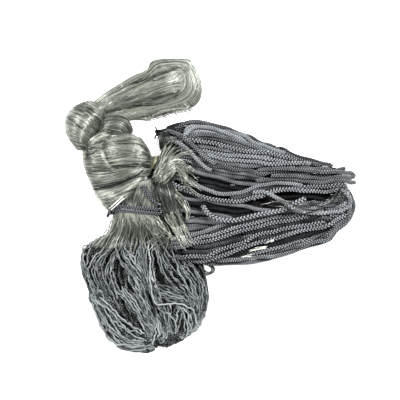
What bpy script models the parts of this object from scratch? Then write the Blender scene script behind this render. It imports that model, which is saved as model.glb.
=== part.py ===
"""A packed gill net, lying flat: gathered webbing, float line hank, lead line hank, tie, thread and knot.

Everything lies on the ground plane z = 0 and the plan is centred on the origin. The tables are in
millimetres and every solid is built in metres.
"""

import math
from collections import namedtuple

import bmesh
import bpy
from mathutils import Vector
from mathutils.bvhtree import BVHTree

MM = 0.001
WELD = 0.01

# Cordage
FLOAT_LINE = 6.0  # braided line
TIE_CORD = 4.2
SEIZING_THREAD = 1.8
LOOSE_END_PITCH = 2.2 * FLOAT_LINE  # between two points of its run
THREAD_PITCH = 9.0
THREAD_RISE = 0.2  # of its middle over the webbing
CLEARANCE = 0.42  # round the sections of two pieces that touch: their flats come to about 0.3

NETTING_FINENESS = (16.0, 12)  # length between two sections, and sides of a section
LINE_FINENESS = (20.0, 10)
ROUND_ENDS = 0.38  # share of a fold's length over which each end tapers

# The neck that the tie draws in
NECK_MIDDLE = (-93.0, -5.0, 16.5)
NECK_WIDE = 60.0
NECK_DEEP = 18.0
TIE_SINK = 0.5  # how far the tie bites into the webbing
TIE_TURNS = 2.5
TIE_TURN_PITCH = 7.6
TIE_SLOPE = -0.055  # the turns run down towards the right
TIE_POINTS_A_TURN = 16
TIE_LEG_ROUTE = ((-88, 20), (-80, 12), (-71, 6))  # x, y, from its free end
TIE_LEG_RISE = 1.0  # of its middle over the webbing
TIE_STUB = 9.0
TIE_STUB_HEADING = (-0.4, -1.0, 0.0)

# A fold is one gathered bundle of netting or of line. wide: across it on the plan. deep: through its
# thickness. level: height of its middle. start, end: share of the full size that its two ends have.
# route: x, y of the points that its middle line passes.
Fold = namedtuple("Fold", "wide deep level start end route")

WEBBING_FOLDS = (
    # long doubled bight at the top: its outer band runs out, turns and comes back
    Fold(20, 18, 8, 0.7, 0.6, ((-141, 126), (-120, 140), (-91, 157), (-63, 171), (-38, 174), (-24, 165),
                               (-22, 148), (-34, 135), (-57, 126), (-82, 118), (-109, 112), (-136, 110))),
    # its inner tongue
    Fold(36, 23, 10, 0.35, 0.2, ((-141, 121), (-116, 131), (-88, 140), (-62, 149), (-34, 158))),
    # left knot bulge
    Fold(50, 43, 18, 0.35, 0.35, ((-143, 129), (-154, 114), (-158, 98), (-157, 84), (-150, 68))),
    # small bulge beside it
    Fold(34, 36, 16, 0.6, 0.3, ((-144, 96), (-128, 103), (-113, 101), (-101, 91), (-95, 78))),
    # large middle bulge
    Fold(66, 48, 20, 0.4, 0.35, ((-161, 56), (-142, 57), (-118, 59), (-96, 65), (-74, 67))),
    # body below it, drawn in towards the neck
    Fold(76, 42, 17, 0.75, 0.66, ((-113, 55), (-112, 40), (-108, 22), (-101, 7), (-96, -2))),
    Fold(NECK_WIDE, NECK_DEEP, NECK_MIDDLE[2], 1.0, 1.0, ((-97, 8), (-93, -6), (-91, -20))),
    # fan below the neck, spread over the lead line
    Fold(26, 15, 17, 0.8, 0.5, ((-108, -12), (-118, -28), (-138, -48))),
    Fold(26, 16, 20, 0.8, 0.5, ((-101, -12), (-107, -34), (-117, -55))),
    Fold(26, 16, 21, 0.8, 0.5, ((-92, -12), (-94, -36), (-98, -60))),
    Fold(26, 16, 21, 0.8, 0.5, ((-83, -12), (-81, -36), (-79, -60))),
    Fold(26, 16, 20, 0.8, 0.5, ((-76, -12), (-68, -33), (-60, -54))),
    # fans at the right, spread over the end of the float line hank
    Fold(30, 24, 11, 0.9, 0.5, ((-88, 20), (-68, 40), (-56, 62), (-50, 88))),
    Fold(46, 30, 14, 0.9, 0.6, ((-86, 16), (-64, 36), (-42, 52), (-16, 58))),
    Fold(54, 26, 12, 0.9, 0.8, ((-84, 14), (-58, 12), (-34, 6), (-10, -2))),
    Fold(40, 23, 11, 0.9, 0.7, ((-78, -2), (-56, -16), (-34, -30), (-12, -40))),
    Fold(24, 16, 14, 0.9, 0.6, ((-74, -6), (-58, -24), (-38, -44), (-18, -62))),
)

FLOAT_HANK_FOLDS = (
    # low beds under all the turns
    Fold(128, 15, 5, 0.7, 0.3, ((-24, 14), (10, 14), (55, 7), (100, 5), (138, 9), (172, 8))),
    Fold(34, 15, 5, 0.6, 0.3, ((-42, 84), (-10, 78), (40, 58), (90, 44), (150, 34))),
    # upper edge
    Fold(17, 20, 10, 0.7, 0.6, ((-44, 93), (-26, 98), (2, 92), (32, 80), (60, 64), (92, 51), (127, 44),
                                (158, 39))),
    Fold(20, 28, 15, 0.8, 0.6, ((-36, 82), (-6, 80), (27, 70), (64, 55), (112, 43), (172, 36))),
    # pair that crosses the upper left corner on top
    Fold(17, 16, 26, 0.8, 0.5, ((-52, 91), (-32, 77), (-9, 62), (30, 56), (87, 47), (168, 33))),
    # smooth inner turns above the upper hollow
    Fold(20, 22, 12, 0.7, 0.3, ((-26, 51), (6, 46), (37, 38), (70, 28))),
    # bold turns between the two hollows
    Fold(17, 28, 16, 0.8, 0.5, ((-30, 20), (-3, 13), (26, 7), (52, 14), (86, 26), (116, 21), (162, 19))),
    # upper lip of the tip
    Fold(24, 24, 12, 0.6, 0.5, ((104, 44), (140, 38), (181, 30))),
    # turns below the lower hollow, drawn together at the right and turned up there
    Fold(20, 30, 16, 0.8, 0.5, ((-24, -10), (6, -21), (37, -21), (74, -13), (112, -10), (156, -5),
                                (174, 8))),
    Fold(22, 32, 17, 0.8, 0.5, ((-22, -32), (6, -38), (43, -33), (87, -24), (131, -14), (164, -4),
                                (176, 12))),
    Fold(22, 28, 15, 0.8, 0.5, ((-18, -50), (18, -52), (56, -46), (93, -36), (131, -26), (162, -9),
                                (176, 12))),
    # lower edge
    Fold(17, 20, 10, 0.7, 0.6, ((-10, -63), (24, -66), (60, -63), (93, -54), (127, -40), (158, -20),
                                (174, 1), (172, 20))),
)

LEAD_HANK_FOLDS = (
    # low bed under all the turns
    Fold(128, 15, 5, 0.6, 0.5, ((-80, -42), (-80, -70), (-78, -110), (-72, -145), (-64, -170))),
    # from the left edge to the right edge; each hangs from the neck and turns in at the bottom
    Fold(20, 22, 10, 0.7, 0.6, ((-123, -36), (-141, -50), (-151, -70), (-149, -96), (-139, -124),
                                (-126, -153), (-103, -174), (-72, -176))),
    Fold(24, 29, 14, 0.7, 0.6, ((-111, -38), (-127, -55), (-135, -82), (-129, -112), (-114, -140),
                                (-90, -161), (-62, -170))),
    Fold(24, 32, 16, 0.7, 0.6, ((-98, -41), (-110, -62), (-113, -88), (-104, -116), (-86, -140),
                                (-63, -157), (-40, -163))),
    Fold(26, 33, 16, 0.7, 0.6, ((-86, -43), (-91, -66), (-88, -92), (-76, -116), (-58, -138), (-38, -150))),
    Fold(26, 32, 16, 0.7, 0.6, ((-73, -46), (-69, -68), (-60, -94), (-47, -116), (-37, -136), (-34, -150))),
    Fold(24, 28, 14, 0.7, 0.6, ((-60, -49), (-48, -66), (-34, -86), (-24, -108), (-22, -132), (-29, -153))),
    Fold(17, 22, 10, 0.8, 0.6, ((-44, -50), (-24, -62), (-13, -80), (-11, -106), (-14, -134), (-27, -156),
                                (-50, -170), (-74, -177))),
)

# The cut end of the float line: x, y and height of the points that its middle line passes.
LOOSE_END_ROUTE = (
    (-9, -1, 22), (-6, -6, 26), (0, -12, 30), (8, -16, 33), (18, -18, 34), (30, -18, 34), (44, -15, 34),
    (60, -11, 34), (76, -8, 34), (90, -5, 34), (98, -1, 34), (106, 4, 33), (117, 9, 31),
)
# The thin thread round the lower bulge: x, y on the plan, from its left side to its right.
THREAD_ROUTE = ((-140, 21), (-134, 23), (-120, 26), (-104, 31), (-90, 38), (-83, 44))
# The knot at the upper left corner of the float line hank and the strand that leads to it.
KNOT_MIDDLE = (-66.0, 92.0, 5.0)
KNOT_SIZE = (7.0, 9.0, 10.0)
KNOT_STRAND = 3.4
KNOT_STRAND_ROUTE = ((-65, 93, 5.0), (-59, 95, 5.5), (-52, 96, 7.0), (-44, 96, 9.0), (-38, 96, 10.0))

FLOOR_BLOCK = (600.0, 600.0, 60.0)

COLOURS = {
    # slot: colour, roughness
    "webbing": ((0.42, 0.45, 0.38, 1.0), 0.35),
    "float_line": ((0.17, 0.19, 0.23, 1.0), 0.75),
    "lead_line": ((0.22, 0.25, 0.26, 1.0), 0.70),
    "tie_cord": ((0.12, 0.13, 0.18, 1.0), 0.70),
    "dark_thread": ((0.03, 0.03, 0.03, 1.0), 0.60),
}


def clear_scene():
    for obj in list(bpy.data.objects):
        bpy.data.objects.remove(obj, do_unlink=True)


def new_collection(name):
    made = bpy.data.collections.new(name)
    bpy.context.scene.collection.children.link(made)
    return made


def finish(slot):
    material = bpy.data.materials.new(slot)
    material.use_nodes = True
    shader = material.node_tree.nodes["Principled BSDF"]
    colour, roughness = COLOURS[slot]
    shader.inputs["Base Color"].default_value = colour
    shader.inputs["Roughness"].default_value = roughness
    shader.inputs["Metallic"].default_value = 0.0
    return material


def curve_through(points, pitch):
    """Points about a pitch apart on a smooth (Catmull-Rom) curve through the given ones."""
    knots = [Vector((*p, 0.0)) if len(p) == 2 else Vector(p) for p in points]
    ends = [2 * knots[0] - knots[1], *knots, 2 * knots[-1] - knots[-2]]
    run = []
    for a, b, c, d in zip(ends, ends[1:], ends[2:], ends[3:]):
        steps = max(1, round((c - b).length / pitch))
        for step in range(steps):
            t = step / steps
            run.append(0.5 * (2 * b + (c - a) * t + (2 * a - 5 * b + 4 * c - d) * t * t
                              + (3 * b - a - 3 * c + d) * t ** 3))
    return [*run, knots[-1]]


def taper(share, start, end):
    """How much of its full size a fold has at this share of its length, its ends rounded off."""
    size = 1.0
    for reach, least in ((share, start), (1.0 - share, end)):
        if reach < ROUND_ENDS:
            size *= least + (1.0 - least) * math.sin(0.5 * math.pi * reach / ROUND_ENDS)
    return size


def loft_fold(fold, pitch, sides, grow=0.0):
    """A closed mesh of oval sections along the fold, made larger all round by grow."""
    middle = curve_through(fold.route, pitch)
    headings = [(b - a).normalized() for a, b in zip([middle[0], *middle], [*middle[1:], middle[-1]])]
    middle[0] = middle[0] - headings[0] * grow
    middle[-1] = middle[-1] + headings[-1] * grow
    shape = bmesh.new()
    rings = []
    for i, (point, heading) in enumerate(zip(middle, headings)):
        size = taper(i / (len(middle) - 1), fold.start, fold.end)
        across = Vector((-heading.y, heading.x, 0.0))
        half_wide = fold.wide * size / 2 + grow
        half_deep = fold.deep * size / 2 + grow
        ring = []
        for side in range(sides):
            angle = 2 * math.pi * (side + 0.5) / sides
            rise = Vector((0.0, 0.0, fold.level + half_deep * math.sin(angle)))
            ring.append(shape.verts.new((point + across * half_wide * math.cos(angle) + rise) * MM))
        rings.append(ring)
    for near, far in zip(rings, rings[1:]):
        for side in range(sides):
            after = (side + 1) % sides
            shape.faces.new((near[side], near[after], far[after], far[side]))
    shape.faces.new(rings[0])
    shape.faces.new(rings[-1])
    bmesh.ops.recalc_face_normals(shape, faces=shape.faces)
    return shape


def as_object(name, shape, collection):
    mesh = bpy.data.meshes.new(name)
    shape.to_mesh(mesh)
    shape.free()
    made = bpy.data.objects.new(name, mesh)
    collection.objects.link(made)
    return made


def evaluated_mesh(obj):
    graph = bpy.context.evaluated_depsgraph_get()
    return bpy.data.meshes.new_from_object(obj.evaluated_get(graph), depsgraph=graph)


def combine(target, other, operation, solver="EXACT"):
    """Joins or cuts the target with the other object, and applies it."""
    cut = target.modifiers.new(operation.title(), "BOOLEAN")
    cut.operation = operation
    cut.solver = solver
    cut.object = other
    mesh = evaluated_mesh(target)
    target.modifiers.clear()
    target.data = mesh


def fill_pockets(solid):
    """Drops every closed surface but the outer one, so that a pocket between two folds is solid."""
    shape = bmesh.new()
    shape.from_mesh(solid.data)
    shells = []
    waiting = set(shape.verts)
    while waiting:
        reached = [waiting.pop()]
        for vert in reached:
            near = {edge.other_vert(vert) for edge in vert.link_edges} & waiting
            waiting -= near
            reached.extend(near)
        shells.append(reached)
    outer = max(shells, key=len)
    inner = [vert for shell in shells if shell is not outer for vert in shell]
    bmesh.ops.delete(shape, geom=inner, context="VERTS")
    shape.to_mesh(solid.data)
    shape.free()


def bundle(name, folds, fineness, collection, grow=0.0):
    """One solid of all the folds together."""
    made = as_object(name, loft_fold(folds[0], *fineness, grow), collection)
    for fold in folds[1:]:
        piece = as_object("fold", loft_fold(fold, *fineness, grow), collection)
        combine(made, piece, "UNION", "MANIFOLD")  # folds that meet at a glancing angle defeat EXACT
        bpy.data.objects.remove(piece, do_unlink=True)
        fill_pockets(made)
    return made


def ground_block(collection):
    shape = bmesh.new()
    bmesh.ops.create_cube(shape, size=1.0)
    size = Vector(FLOOR_BLOCK) * MM
    bmesh.ops.scale(shape, vec=size, verts=shape.verts)
    bmesh.ops.translate(shape, vec=(0.0, 0.0, -size.z / 2), verts=shape.verts)
    return as_object("ground_block", shape, collection)


def cord(name, points, diameter, collection):
    """A round cord of one straight run between each two points, its flat ends closed."""
    line = bpy.data.curves.new(name, "CURVE")
    line.dimensions = "3D"
    line.bevel_depth = diameter * MM / 2
    line.bevel_resolution = 2
    line.use_fill_caps = True
    spline = line.splines.new("POLY")
    spline.points.add(len(points) - 1)
    for spot, place in zip(spline.points, points):
        spot.co = (*(Vector(place) * MM), 1.0)
    made = bpy.data.objects.new(name, line)
    collection.objects.link(made)
    return made


def cord_solid(name, points, diameter, collection):
    """A cord as a mesh with its caps welded on."""
    tube = cord(name + "_curve", points, diameter, collection)
    shape = bmesh.new()
    shape.from_mesh(evaluated_mesh(tube))
    bmesh.ops.remove_doubles(shape, verts=shape.verts, dist=WELD * MM)
    bmesh.ops.recalc_face_normals(shape, faces=shape.faces)
    bpy.data.objects.remove(tube, do_unlink=True)
    return as_object(name, shape, collection)


def room_for(name, points, diameter, collection):
    """The cord's shape with the clearance all round it and past both its ends."""
    route = [Vector(p) for p in points]
    route[0] = route[0] + (route[0] - route[1]).normalized() * CLEARANCE
    route[-1] = route[-1] + (route[-1] - route[-2]).normalized() * CLEARANCE
    return cord_solid(name, route, diameter + 2 * CLEARANCE, collection)


def top_of(solid, x, y):
    """Height of the solid's upper surface over this place on the plan, in millimetres."""
    tree = BVHTree.FromObject(solid, bpy.context.evaluated_depsgraph_get())
    hit = tree.ray_cast(Vector((x * MM, y * MM, 1.0)), Vector((0.0, 0.0, -1.0)))[0]
    return hit.z / MM


def tie_points(webbing):
    """Leg on the webbing, two and a half turns round the neck and stub, as one run of points."""
    x, y, z = NECK_MIDDLE
    half_wide = (NECK_WIDE + TIE_CORD) / 2 - TIE_SINK
    half_deep = (NECK_DEEP + TIE_CORD) / 2 - TIE_SINK
    turns = []
    for step in range(round(TIE_TURNS * TIE_POINTS_A_TURN) + 1):
        turn = step / TIE_POINTS_A_TURN
        angle = -2 * math.pi * turn
        off = half_wide * math.cos(angle)
        along = TIE_TURN_PITCH * (TIE_TURNS / 2 - turn) + TIE_SLOPE * off
        turns.append((x + off, y + along, z + half_deep * math.sin(angle)))
    leg = [(x, y, top_of(webbing, x, y) + TIE_LEG_RISE) for x, y in TIE_LEG_ROUTE]
    lead_in = curve_through([*leg, *turns[:2]], TIE_CORD)[:-1]
    stub = [Vector(turns[-1]) + Vector(TIE_STUB_HEADING) * TIE_STUB * share for share in (0.5, 1.0)]
    return [*lead_in, *turns[1:], *stub]


def build():
    clear_scene()
    net = new_collection("gill_net")
    cutters = new_collection("cutters")
    slots = {slot: finish(slot) for slot in COLOURS}
    ground = ground_block(cutters)

    loose_end_points = curve_through(LOOSE_END_ROUTE, LOOSE_END_PITCH)
    loose_end = cord_solid("float_line_end", loose_end_points, FLOAT_LINE, net)
    loose_end_room = room_for("loose_end_room", loose_end_points, FLOAT_LINE, cutters)
    float_hank = bundle("float_line_hank", FLOAT_HANK_FOLDS, LINE_FINENESS, net)
    combine(float_hank, loose_end_room, "DIFFERENCE")
    combine(float_hank, ground, "DIFFERENCE")

    float_hank_room = bundle("float_hank_room", FLOAT_HANK_FOLDS, LINE_FINENESS, cutters, CLEARANCE)
    lead_hank = bundle("lead_line_hank", LEAD_HANK_FOLDS, LINE_FINENESS, net)
    combine(lead_hank, float_hank_room, "DIFFERENCE")
    combine(lead_hank, ground, "DIFFERENCE")
    lead_hank_room = bundle("lead_hank_room", LEAD_HANK_FOLDS, LINE_FINENESS, cutters, CLEARANCE)

    webbing = bundle("webbing", WEBBING_FOLDS, NETTING_FINENESS, net)
    tie_route = tie_points(webbing)
    tie = cord_solid("tie", tie_route, TIE_CORD, net)
    thread_points = []
    for x, y, _ in curve_through(THREAD_ROUTE, THREAD_PITCH):
        thread_points.append((x, y, top_of(webbing, x, y) + THREAD_RISE))
    thread = cord_solid("seizing_thread", thread_points, SEIZING_THREAD, net)
    rooms = (
        float_hank_room,
        lead_hank_room,
        loose_end_room,
        ground,
        room_for("thread_room", thread_points, SEIZING_THREAD, cutters),
        room_for("tie_room", tie_route, TIE_CORD, cutters),
    )
    for room in rooms:
        combine(webbing, room, "DIFFERENCE")

    knot_shape = bmesh.new()
    bmesh.ops.create_uvsphere(knot_shape, u_segments=12, v_segments=8, radius=0.5 * MM)
    bmesh.ops.scale(knot_shape, vec=KNOT_SIZE, verts=knot_shape.verts)
    bmesh.ops.translate(knot_shape, vec=Vector(KNOT_MIDDLE) * MM, verts=knot_shape.verts)
    knot = as_object("line_knot", knot_shape, net)
    strand = cord_solid("knot_strand", KNOT_STRAND_ROUTE, KNOT_STRAND, cutters)
    combine(knot, strand, "UNION")
    for room in (float_hank_room, ground):
        combine(knot, room, "DIFFERENCE")
    bpy.data.objects.remove(strand, do_unlink=True)

    for piece, slot in (
        (webbing, "webbing"),
        (float_hank, "float_line"),
        (loose_end, "float_line"),
        (lead_hank, "lead_line"),
        (tie, "tie_cord"),
        (thread, "dark_thread"),
        (knot, "dark_thread"),
    ):
        piece.data.materials.clear()
        piece.data.materials.append(slots[slot])
    for cutter in cutters.objects:
        cutter.hide_render = True
        cutter.display_type = "WIRE"


build()
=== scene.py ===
"""A packed gill net lying flat on a pale table: gathered webbing with its knots, a hank of braided float
line, a hank of lead line, and the cords that hold them.

Each hank is made turn by turn from a few guide routes, and its turns are then let sink onto each other.
The webbing is made lock by lock from such guides, with filaments on it. Routes are in millimetres on the
plan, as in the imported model, and meshes are made in metres.
"""

import math
from collections import namedtuple

import bpy
import numpy as np
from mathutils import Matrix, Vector


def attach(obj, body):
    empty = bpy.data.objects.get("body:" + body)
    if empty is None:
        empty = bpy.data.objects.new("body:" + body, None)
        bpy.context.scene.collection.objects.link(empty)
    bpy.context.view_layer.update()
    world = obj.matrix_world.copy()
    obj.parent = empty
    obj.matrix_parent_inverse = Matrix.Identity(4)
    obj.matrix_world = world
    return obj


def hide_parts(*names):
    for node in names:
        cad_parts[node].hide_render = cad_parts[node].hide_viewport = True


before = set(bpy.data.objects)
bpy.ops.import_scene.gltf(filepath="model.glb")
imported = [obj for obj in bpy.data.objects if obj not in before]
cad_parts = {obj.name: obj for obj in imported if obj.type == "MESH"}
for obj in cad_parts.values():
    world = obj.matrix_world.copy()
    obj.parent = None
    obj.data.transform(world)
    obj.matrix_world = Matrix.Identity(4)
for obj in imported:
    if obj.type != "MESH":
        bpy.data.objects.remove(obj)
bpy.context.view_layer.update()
bpy.ops.object.select_all(action="DESELECT")

# ---------------------------------------------------------------------------------------------------
# Camera, table and light. The net lies on a plain white table and is seen from straight above, under
# broad soft lamps.
MM = 0.001
VIEW_MIDDLE = (-13.1, 6.9)
VIEW_WIDTH = 500.0
VIEW_LEVEL = 15.0  # height at which the view is that wide, about the middle of the net's
CAMERA_HEIGHT = 1500.0
TABLE_WHITE = (0.93, 0.93, 0.93, 1.0)
TABLE_GLOW = 0.75  # so that the table is as white as paper under lamps that suit the net
ROOM_LIGHT = 0.50

camera_data = bpy.data.cameras.new("camera")
camera_data.sensor_width = 36.0
camera_data.lens = camera_data.sensor_width * (CAMERA_HEIGHT - VIEW_LEVEL) / VIEW_WIDTH
camera_data.clip_end = 20.0
camera = bpy.data.objects.new("camera", camera_data)
camera.location = (VIEW_MIDDLE[0] * MM, VIEW_MIDDLE[1] * MM, CAMERA_HEIGHT * MM)
bpy.context.scene.collection.objects.link(camera)
bpy.context.scene.camera = camera

bpy.ops.mesh.primitive_plane_add(size=6.0, location=(0.0, 0.0, 0.0))
table = bpy.context.object
table.name = "table"
paper = bpy.data.materials.new("table_white")
paper.use_nodes = True
paper_inputs = paper.node_tree.nodes["Principled BSDF"].inputs
paper_inputs["Base Color"].default_value = TABLE_WHITE
paper_inputs["Roughness"].default_value = 0.9
paper_inputs["Emission Color"].default_value = (1.0, 1.0, 1.0, 1.0)
paper_inputs["Emission Strength"].default_value = TABLE_GLOW
table.data.materials.append(paper)

world = bpy.data.worlds.new("room")
world.use_nodes = True
world.node_tree.nodes["Background"].inputs["Color"].default_value = (1.0, 1.0, 1.0, 1.0)
world.node_tree.nodes["Background"].inputs["Strength"].default_value = ROOM_LIGHT
bpy.context.scene.world = world
bpy.context.scene.view_settings.view_transform = "Standard"

Lamp = namedtuple("Lamp", "name place size power")
LAMPS = (
    Lamp("key", (0.75, 0.45, 1.0), 0.40, 30.0),
    Lamp("fill", (-0.8, 0.3, 0.9), 0.40, 18.0),
)
for lamp in LAMPS:
    data = bpy.data.lights.new(lamp.name, "AREA")
    data.shape = "DISK"
    data.size = lamp.size
    data.energy = lamp.power
    light = bpy.data.objects.new(lamp.name, data)
    light.location = lamp.place
    towards_net = -Vector(lamp.place)
    light.rotation_euler = towards_net.to_track_quat("-Z", "Y").to_euler()
    bpy.context.scene.collection.objects.link(light)


# ---------------------------------------------------------------------------------------------------
# Loose end of the float line. A 6 mm braided line, cut off bare; its last stretch lies along the hank,
# over the lower hollow.
FLOAT_LINE = 6.0
LOOSE_END_ROUTE = (
    (-9, -1, 22), (-6, -6, 26), (0, -12, 30), (8, -16, 33), (18, -18, 34), (30, -18, 34), (44, -15, 34),
    (60, -11, 34), (76, -8, 34), (90, -5, 34), (98, -1, 34), (106, 4, 33), (117, 9, 31),
)
BRAID_SIDES = 12  # of the line's mesh
BRAID_RING = 0.9  # from one ring of the mesh to the next
BRAID_COLUMNS = 4  # of bumps round the line
BRAID_PITCH = 0.75  # of a bump along its column, in diameters
PLAIN_STRETCH = 1.35  # of that pitch, where a line's braid is worn smooth and shows less boldly
BRAID_DEPTH = 0.24  # of the bumps, in radii
BRAID_SLANT = 0.5  # of a bump from one side of its column to the other, in pitches
BRAID_FALL = 0.9  # of a bump's height from the middle of its column to the sides
BRAID_MEAN = 0.35  # of the bumps' heights, about, taken off so that the line keeps its thickness
END_BULGE = 0.3  # of a strand's cut ends, in radii


def smooth_between(knots, at):
    """Values on the Catmull-Rom curve through the knots, at places counted in knots."""
    ends = np.concatenate([2 * knots[:1] - knots[1:2], knots, 2 * knots[-1:] - knots[-2:-1]])
    low = np.clip(np.floor(at).astype(int), 0, len(knots) - 2)
    t = (at - low).reshape(-1, *[1] * (knots.ndim - 1))
    a, b, c, d = ends[low], ends[low + 1], ends[low + 2], ends[low + 3]
    square = 2 * a - 5 * b + 4 * c - d
    cube = 3 * b - a - 3 * c + d
    return 0.5 * (2 * b + (c - a) * t + square * t ** 2 + cube * t ** 3)


def run_through(points, pitch):
    """Points one pitch apart on the smooth curve through the given ones."""
    knots = np.array(points, float)
    fine = smooth_between(knots, np.linspace(0, len(knots) - 1, 8 * (len(knots) - 1) + 1))
    reach = np.concatenate([[0.0], np.cumsum(np.linalg.norm(np.diff(fine, axis=0), axis=1))])
    at = np.linspace(0.0, reach[-1], max(3, round(reach[-1] / pitch) + 1))
    return np.column_stack([np.interp(at, reach, column) for column in fine.T])


def braid_relief(lengths, angles):
    """How far the braid's bumps stand out at each place, as a share of the radius."""
    column = angles[None, :] / (2 * math.pi) * BRAID_COLUMNS - 0.5
    odd = np.round(column) % 2
    off = (column - np.round(column)) * (1 - 2 * odd)
    phase = lengths[:, None] / BRAID_PITCH + odd / 2 + BRAID_SLANT * off
    along = 0.5 + 0.5 * np.cos(2 * math.pi * phase)
    return BRAID_DEPTH * (along * (1.0 - BRAID_FALL * np.abs(off)) - BRAID_MEAN)


def sides_of(run):
    """The directions along a strand at each of its points, out to its side, and up from it."""
    ahead = np.gradient(run, axis=0)
    ahead /= np.linalg.norm(ahead, axis=1)[:, None] + 1e-9
    side = np.cross(ahead, (0.0, 0.0, 1.0))
    width = np.linalg.norm(side, axis=1)
    # where the strand stands nearly upright, its side is carried on from the point before
    for i in range(len(run)):
        if width[i] < 0.15 and i > 0:
            side[i] = side[i - 1] - ahead[i] * np.dot(side[i - 1], ahead[i])
        elif width[i] < 1e-6:
            side[i] = (1.0, 0.0, 0.0)
    side /= np.linalg.norm(side, axis=1)[:, None] + 1e-9
    return ahead, side, np.cross(side, ahead)


def quad_chart(u, v, i, j):
    """The places on the chart of quads from column u[i] and row v[j] to the next ones."""
    return np.stack([np.stack([u[i], v[j]], -1), np.stack([u[i + 1], v[j]], -1),
                     np.stack([u[i + 1], v[j + 1]], -1), np.stack([u[i], v[j + 1]], -1)], axis=2)


def strands(name, runs, radii, sides, relief=None, tones=None, bolds=None):
    """One mesh of round closed strands, with lengths in diameters along U and turns round along V.

    tones: from dark to light; bolds: how plainly each one's braid shows.
    """
    angles = 2 * math.pi * np.arange(sides) / sides
    places, corners, starts, charts, shades, braids = [], [], [], [], [], []
    first = 0
    loops = 0
    for number, run in enumerate(runs):
        radius = radii[number] if hasattr(radii, "__len__") else radii
        run = np.asarray(run, float)
        count = len(run)
        ahead, side, up = sides_of(run)
        step = np.linalg.norm(np.diff(run, axis=0), axis=1)
        lengths = np.concatenate([[0.0], np.cumsum(step)]) / (2 * np.mean(radius))
        bold = 1.0 if bolds is None else bolds[number]
        lengths *= 1.0 if bold > 0.95 else PLAIN_STRETCH
        swell = 1.0 + bold * relief(lengths, angles) if relief else np.ones((count, sides))
        reach = (np.broadcast_to(radius, (count,))[:, None] * swell)[..., None]
        rings = run[:, None] + reach * (np.cos(angles)[None, :, None] * side[:, None]
                                        + np.sin(angles)[None, :, None] * up[:, None])
        places.append(rings.reshape(-1, 3))
        places.append(np.vstack([run[0] - ahead[0] * np.mean(radius) * END_BULGE,
                                 run[-1] + ahead[-1] * np.mean(radius) * END_BULGE]))
        ring, turn = np.meshgrid(np.arange(count - 1), np.arange(sides), indexing="ij")
        after = (turn + 1) % sides
        quads = np.stack([ring * sides + turn, (ring + 1) * sides + turn,
                          (ring + 1) * sides + after, ring * sides + after], axis=-1).reshape(-1, 4)
        chart = quad_chart(lengths, np.arange(sides + 1) / sides, ring, turn).reshape(-1, 2)
        head, tail = count * sides, count * sides + 1
        near = np.arange(sides)
        far = (near + 1) % sides
        last = (count - 1) * sides
        caps = np.vstack([np.stack([np.full(sides, head), near, far], -1),
                          np.stack([np.full(sides, tail), last + far, last + near], -1)])
        cap_chart = np.zeros((len(caps) * 3, 2))
        cap_chart[len(caps) * 3 // 2:, 0] = lengths[-1]
        corners.extend([first + quads.ravel(), first + caps.ravel()])
        charts.extend([chart, cap_chart])
        starts.append(loops + 4 * np.arange(len(quads)))
        loops += 4 * len(quads)
        starts.append(loops + 3 * np.arange(len(caps)))
        loops += 3 * len(caps)
        shades.append(np.full(count * sides + 2, 0.5 if tones is None else tones[number]))
        braids.append(np.full(count * sides + 2, bold))
        first += count * sides + 2
    mesh = bpy.data.meshes.new(name)
    places = np.vstack(places) * MM
    mesh.vertices.add(len(places))
    mesh.vertices.foreach_set("co", places.ravel())
    corners = np.concatenate(corners)
    mesh.loops.add(len(corners))
    mesh.loops.foreach_set("vertex_index", corners.astype(np.int32))
    starts = np.concatenate(starts)
    mesh.polygons.add(len(starts))
    mesh.polygons.foreach_set("loop_start", starts.astype(np.int32))
    mesh.update(calc_edges=True)
    mesh.uv_layers.new(name="run").data.foreach_set("uv", np.vstack(charts).ravel())
    mesh.attributes.new("tone", "FLOAT", "POINT").data.foreach_set("value", np.concatenate(shades))
    mesh.attributes.new("bold", "FLOAT", "POINT").data.foreach_set("value", np.concatenate(braids))
    mesh.shade_smooth()
    made = bpy.data.objects.new(name, mesh)
    bpy.context.scene.collection.objects.link(made)
    return made


def node(tree, kind, x=0, y=0, **settings):
    """A new node of this kind in the material's tree."""
    made = tree.nodes.new(kind)
    made.location = (x, y)
    for key, value in settings.items():
        setattr(made, key, value)
    return made


def math_node(tree, operation, a, b=None):
    """The result of a sum on one or two values, each a number or another node's result."""
    made = node(tree, "ShaderNodeMath", operation=operation)
    for socket, value in zip(made.inputs, (a, b)):
        if value is None:
            continue
        if isinstance(value, (int, float)):
            socket.default_value = value
        else:
            tree.links.new(value, socket)
    return made.outputs[0]


def noise_node(tree, places, scale, detail=2.0, y=0):
    """Noise of so many grains to the metre, or to the unit of the places given."""
    made = node(tree, "ShaderNodeTexNoise", -800, y)
    made.inputs["Scale"].default_value = scale
    made.inputs["Detail"].default_value = detail
    tree.links.new(places, made.inputs["Vector"])
    return made


def colour_ramp(tree, level, stops, colour):
    """Colours the input after the level, by stops that each have a place and a colour."""
    ramp = node(tree, "ShaderNodeValToRGB", -300, 100)
    elements = ramp.color_ramp.elements
    elements[0].position, elements[0].color = stops[0]
    elements[1].position, elements[1].color = stops[1]
    for place, shade in stops[2:]:
        elements.new(place).color = shade
    tree.links.new(level, ramp.inputs["Fac"])
    tree.links.new(ramp.outputs["Color"], colour)


def bump_node(tree, height, strength, distance, normal):
    """Raises the surface by a height of up to this distance in metres."""
    lift = node(tree, "ShaderNodeBump", -300, -300)
    lift.inputs["Strength"].default_value = strength
    lift.inputs["Distance"].default_value = distance
    tree.links.new(height, lift.inputs["Height"])
    tree.links.new(lift.outputs["Normal"], normal)


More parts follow.
